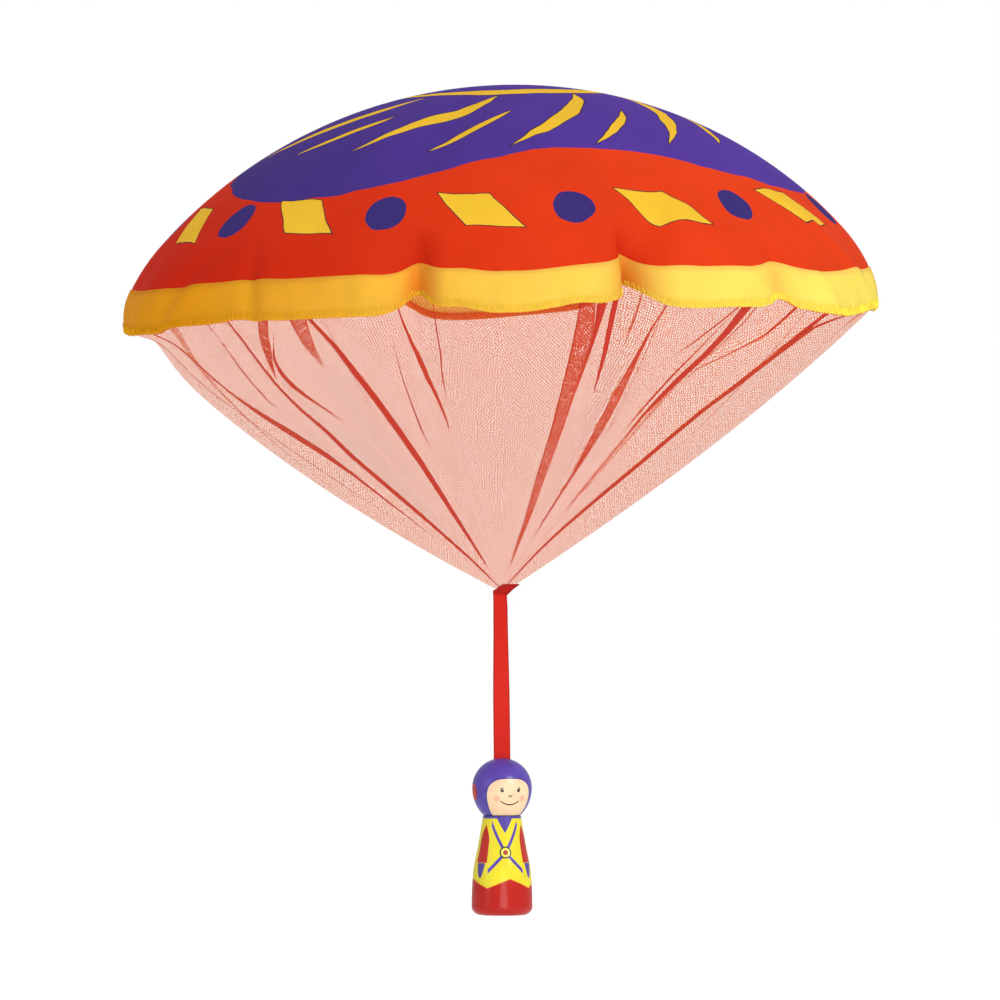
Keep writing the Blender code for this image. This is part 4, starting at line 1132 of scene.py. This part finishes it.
head_azimuth = crowded(-math.pi, math.pi, 361, math.radians(FACE_TURN_DEG), 0.7, 1.6)[:-1]
ring_x, ring_y = np.sin(head_azimuth), -np.cos(head_azimuth)
slot_x, slot_y = slot_outline(head_azimuth)
spread = np.linspace(0, 1, 30)[:, None] ** 1.3
cap_radius = HEAD_RADIUS * math.sin(math.radians(CROWN_SIDE_DEG))
top_x = slot_x + (cap_radius * ring_x - slot_x) * spread
top_y = slot_y + (cap_radius * ring_y - slot_y) * spread
top_z = HEAD_MIDDLE + HEAD_UPPER_HEIGHT * np.sqrt(1 - (top_x**2 + top_y**2) / HEAD_RADIUS**2)
top_z[0] -= EDGE_ROUNDING
cut_angle = math.acos(NECK_RADIUS / HEAD_RADIUS)
angle = crowded(math.radians(90 - CROWN_SIDE_DEG), -cut_angle, 130, -0.15, 0.5, 1.0)[1:]
side_height = np.where(angle > 0, HEAD_UPPER_HEIGHT, HEAD_LOWER_HEIGHT) * np.sin(angle)
profile = [(HEAD_RADIUS * math.cos(a), HEAD_MIDDLE + h) for a, h in zip(angle, side_height)]
profile += [
    (NECK_RADIUS - EDGE_ROUNDING, HEAD_BOTTOM),
    (BORE_RADIUS + EDGE_ROUNDING, HEAD_BOTTOM),
    (BORE_RADIUS, HEAD_BOTTOM + EDGE_ROUNDING),
    (BORE_RADIUS, HEAD_BOTTOM + BORE_DEPTH - EDGE_ROUNDING),
    (BORE_RADIUS - EDGE_ROUNDING, HEAD_BOTTOM + BORE_DEPTH),
    (0, HEAD_BOTTOM + BORE_DEPTH),
]
profile = np.array(profile)
turned_part = on_ring(profile[:, :1], head_azimuth, profile[:, 1:] + 0 * head_azimuth)
slot_floor = HEAD_TOP - SLOT_DEPTH
slot_part = np.stack(
    [
        np.stack([x, y, height + 0 * slot_x], -1)
        for x, y, height in (
            (0 * slot_x, 0 * slot_y, slot_floor),
            (slot_x, slot_y, slot_floor),
            (slot_x, slot_y, HEAD_TOP - 3 * EDGE_ROUNDING),
        )
    ]
)
head_points = np.concatenate([slot_part, np.stack([top_x, top_y, top_z], -1), turned_part])

# Paint: signed distances in millimetres, above 0 inside a coat, and every size in it is in millimetres too
around = turned_from(np.arctan2(head_points[..., 0], -head_points[..., 1]), FACE_TURN_DEG)
around = np.radians(around) * HEAD_RADIUS * 1000
above = (head_points[..., 2] - HEAD_MIDDLE) * 1000
beside = np.abs(around)
opening = 14 * (1 - (np.abs(around / 15.2) ** 3 + np.abs((above + 9.2) / 14.8) ** 3) ** (1 / 3))
eyes = 1.1 - np.hypot(beside - 5.2, (above + 1.0) / 1.35)
eye_lights = 0.36 - np.hypot(beside - 4.9, above + 0.5)
nose = np.minimum(0.3 - np.abs(np.hypot(around, above + 3.9) - 1.05), -above - 3.9)
smile = np.minimum(0.34 - np.abs(above + 9.9 - 0.055 * around**2) * 0.9, 6.4 - beside)
cheeks = 1.9 - np.hypot(beside - 8.7, above + 6.3)
ear_pads = 4.6 - np.hypot(beside - math.pi / 2 * HEAD_RADIUS * 1000, (above + 2.5) * 0.9)
head_marks = {
    "cap_piping": opening + 0.7,
    "face_skin": opening,
    "cheeks": cheeks,
    "face_lines": np.maximum(np.maximum(eyes, nose), smile),
    "eye_lights": eye_lights,
    "ear_pad_rim": ear_pads + 0.7,
    "ear_pads": ear_pads,
}
head = surface("doll_head_painted", head_points, poles=("first", "last"), marks=head_marks)
head_coats = (
    ("cap_piping", "43358C"),
    ("face_skin", "FBD7AE"),
    ("cheeks", "F5B795"),
    ("face_lines", "2B1E18"),
    ("eye_lights", "FFFFFF"),
    ("ear_pad_rim", "43358C"),
    ("ear_pads", "C22A20"),
)
head.data.materials.append(painted_wood("gloss paint on beech head", "5A48AC", head_coats))
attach(head, "doll")
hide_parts("doll_head")

# Doll's body: turned from beech with a narrow neck and a rounded foot, painted as a yellow suit with red
# sleeves and trousers, purple gloves and neckerchief, and a parachute harness with a round buckle.
BODY_RADIUS = 0.0183
BODY_HEIGHT = 0.0598
BODY_CORNER_RADIUS = 0.0054
BODY_OUTLINE_SHARES = ((0.617, 1.0), (0.689, 0.874), (0.803, 0.673), (0.934, 0.472), (0.984, 0.271))
BODY_TOP = -0.438179
SUIT_TURN_DEG = 8.0
body_bottom = BODY_TOP - BODY_HEIGHT
corner_height = body_bottom + BODY_CORNER_RADIUS
outline_points = [(r * BODY_RADIUS, body_bottom + h * BODY_HEIGHT) for r, h in BODY_OUTLINE_SHARES]
side_line = smooth_line([*outline_points, (BODY_RADIUS, corner_height)], 32)
corner_turn = np.linspace(0, math.pi / 2, 25)[1:]
inset = BODY_RADIUS - BODY_CORNER_RADIUS
corner_out = inset + BODY_CORNER_RADIUS * np.cos(corner_turn)
corner_line = np.stack([corner_out, corner_height - BODY_CORNER_RADIUS * np.sin(corner_turn)], -1)
bore_line = [
    (0, BODY_TOP - BORE_DEPTH),
    (BORE_RADIUS - EDGE_ROUNDING, BODY_TOP - BORE_DEPTH),
    (BORE_RADIUS, BODY_TOP - BORE_DEPTH + EDGE_ROUNDING),
    (BORE_RADIUS, BODY_TOP - EDGE_ROUNDING),
    (BORE_RADIUS + EDGE_ROUNDING, BODY_TOP),
    (side_line[0, 0] - EDGE_ROUNDING, BODY_TOP),
]
side_line[0, 1] -= EDGE_ROUNDING
profile = np.concatenate([bore_line, side_line, corner_line, [(inset / 2, body_bottom), (0, body_bottom)]])
body_azimuth = np.arange(340) / 340 * 2 * math.pi - math.pi
body_points = on_ring(profile[:, :1], body_azimuth, profile[:, 1:] + 0 * body_azimuth)

# Paint: degrees round from the suit's front, millimetres above the foot, and signed distances again
degrees = turned_from(body_azimuth, SUIT_TURN_DEG) + 0 * profile[:, :1]
beside = np.abs(degrees)
above = (body_points[..., 2] - body_bottom) * 1000
millimetres = beside * 0.262
zigzag = 22.0 - 5.6 * np.abs((degrees - 8 + 45) % 90 - 45) / 45
trousers = (zigzag - above) * 0.9
from_arm = np.abs(beside - 57)
sleeves = np.minimum((15.5 - from_arm - 0.14 * np.maximum(above - 44, 0) ** 2) * 0.26, above - 31.8)
gloves = np.minimum((11.5 * np.sqrt(np.maximum(above - 22.5, 0) / 9.3) - from_arm) * 0.28, 31.6 - above)
scarf = np.maximum(above - 58.2, (above - 49.5 - 0.38 * beside) * 0.8)
upper_straps = 0.95 - np.abs(above - 38 - 1.75 * millimetres) / 2.0
lower_straps = 0.95 - np.abs(38 - above - 1.15 * millimetres) / 1.5
straps = np.minimum(np.where(above > 38, upper_straps, lower_straps), 38 - beside)
buckle = 3.6 - np.hypot(millimetres, above - 38)
marks = {
    "straps": straps,
    "trousers_edge": trousers + 0.45,
    "trousers": trousers,
    "sleeves": sleeves,
    "purple_parts": np.maximum(gloves, scarf),
    "buckle_rim": buckle,
    "buckle": buckle - 0.9,
    "buckle_middle": buckle - 2.1,
}
body = surface("doll_body_painted", body_points, poles=("first", "last"), marks=marks)
body_coats = (
    ("straps", "5A48AC"),
    ("trousers_edge", "EE9A2A"),
    ("trousers", "BC1E14"),
    ("sleeves", "C02A20"),
    ("purple_parts", "5547A0"),
    ("buckle_rim", "4A4630"),
    ("buckle", "F4EC62"),
    ("buckle_middle", "B8443E"),
)
body.data.materials.append(painted_wood("gloss paint on beech body", "EBDD2E", body_coats))
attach(body, "doll")
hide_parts("doll_body")

# Neck dowel: a plain beech pin glued into both bores, out of sight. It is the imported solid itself, and its
# material has bare wood's grain, drawn out along the pin.
beech, tree, shader = finish_of("bare beech", 0.6)
stretched = add(tree, "Mapping", object_place(tree))
stretched.inputs["Scale"].default_value = (900, 900, 60)
grain = add(tree, "TexNoise", stretched, None, 1.0, 3.0)
colour_with(tree, shader, add(tree, "MixRGB", grain, linear("C79863"), linear("E3BD8A")))
bpy.data.objects["neck_dowel"].material_slots[0].material = beech

# Floor: a pale sheet far below the toy, which hangs in the air
FLOOR_HEIGHT = -0.95
FLOOR_HALF = 14.0
FLOOR_GLOW = 0.6
floor_grid = np.meshgrid([-FLOOR_HALF, FLOOR_HALF], [-FLOOR_HALF, FLOOR_HALF])
floor_points = np.stack([floor_grid[0], -floor_grid[1], np.full((2, 2), FLOOR_HEIGHT)], -1)
floor = surface("floor", floor_points, closed=False)
floor_paper, tree, shader = finish_of("white paper", 0.9)
shader.inputs["Base Color"].default_value = linear("F4F4F4")
shader.inputs["Emission Color"].default_value = (1, 1, 1, 1)
seen = add(tree, "LightPath").outputs["Is Camera Ray"]
lift = add(tree, "Math", seen, FLOOR_GLOW, operation="MULTIPLY")
tree.links.new(lift.outputs[0], shader.inputs["Emission Strength"])
floor.data.materials.append(floor_paper)

# Camera: level, at the height of the middle of the toy, as far off as a long lens stands
CAMERA_DISTANCE = 5.5
CAMERA_SIDE = -0.0012
CAMERA_HEIGHT = -0.249
VIEW_WIDTH = 0.6
camera = bpy.data.objects.new("camera", bpy.data.cameras.new("camera"))
bpy.context.scene.collection.objects.link(camera)
camera.location = (CAMERA_SIDE, -CAMERA_DISTANCE, CAMERA_HEIGHT)
camera.rotation_euler = (math.pi / 2, 0, 0)
camera.data.lens = camera.data.sensor_width * CAMERA_DISTANCE / VIEW_WIDTH
camera.data.clip_end = 100
bpy.context.scene.camera = camera

# Light: a large soft lamp in front to the right and above, weaker ones to the left, below and behind, and
# an even pale surround, which is white where it is looked at
SURROUND_STRENGTH = 0.56
world = bpy.data.worlds.new("pale studio")
bpy.context.scene.world = world
world.use_nodes = True
tree = world.node_tree
background = tree.nodes["Background"]
rays = add(tree, "LightPath")
looking = (rays.outputs["Is Camera Ray"], rays.outputs["Is Transmission Ray"])
seen = add(tree, "Math", *looking, operation="MAXIMUM")
strength = add(tree, "MapRange", seen, 0.0, 1.0, SURROUND_STRENGTH, 1.0)
tree.links.new(strength.outputs[0], background.inputs["Strength"])
background.inputs["Color"].default_value = (1, 1, 1, 1)
for name, place, aim, size, power in (
    ("key lamp", (1.6, -2.2, 1.3), (0, 0, -0.15), 1.6, 51.0),
    ("fill lamp", (-2.4, -1.6, 0.3), (0, 0, -0.2), 1.8, 8.0),
    ("low lamp", (0.3, -2.6, -0.8), (0, 0, -0.25), 1.4, 16.0),
    ("back lamp", (-0.3, 2.6, 0.9), (0, 0, -0.12), 1.6, 24.0),
):
    lamp = bpy.data.objects.new(name, bpy.data.lights.new(name, "AREA"))
    bpy.context.scene.collection.objects.link(lamp)
    lamp.data.shape = "DISK"
    lamp.data.size = size
    lamp.data.energy = power
    lamp.visible_glossy = name != "back lamp"
    lamp.location = place
    back = np.array(place) - np.array(aim)
    flat_back = math.hypot(back[0], back[1])
    lamp.rotation_euler = (math.atan2(flat_back, back[2]), 0, math.atan2(back[0], -back[1]))

scene = bpy.context.scene
scene.view_settings.view_transform = "Standard"
scene.cycles.transparent_max_bounces = 32

bpy.context.view_layer.update()
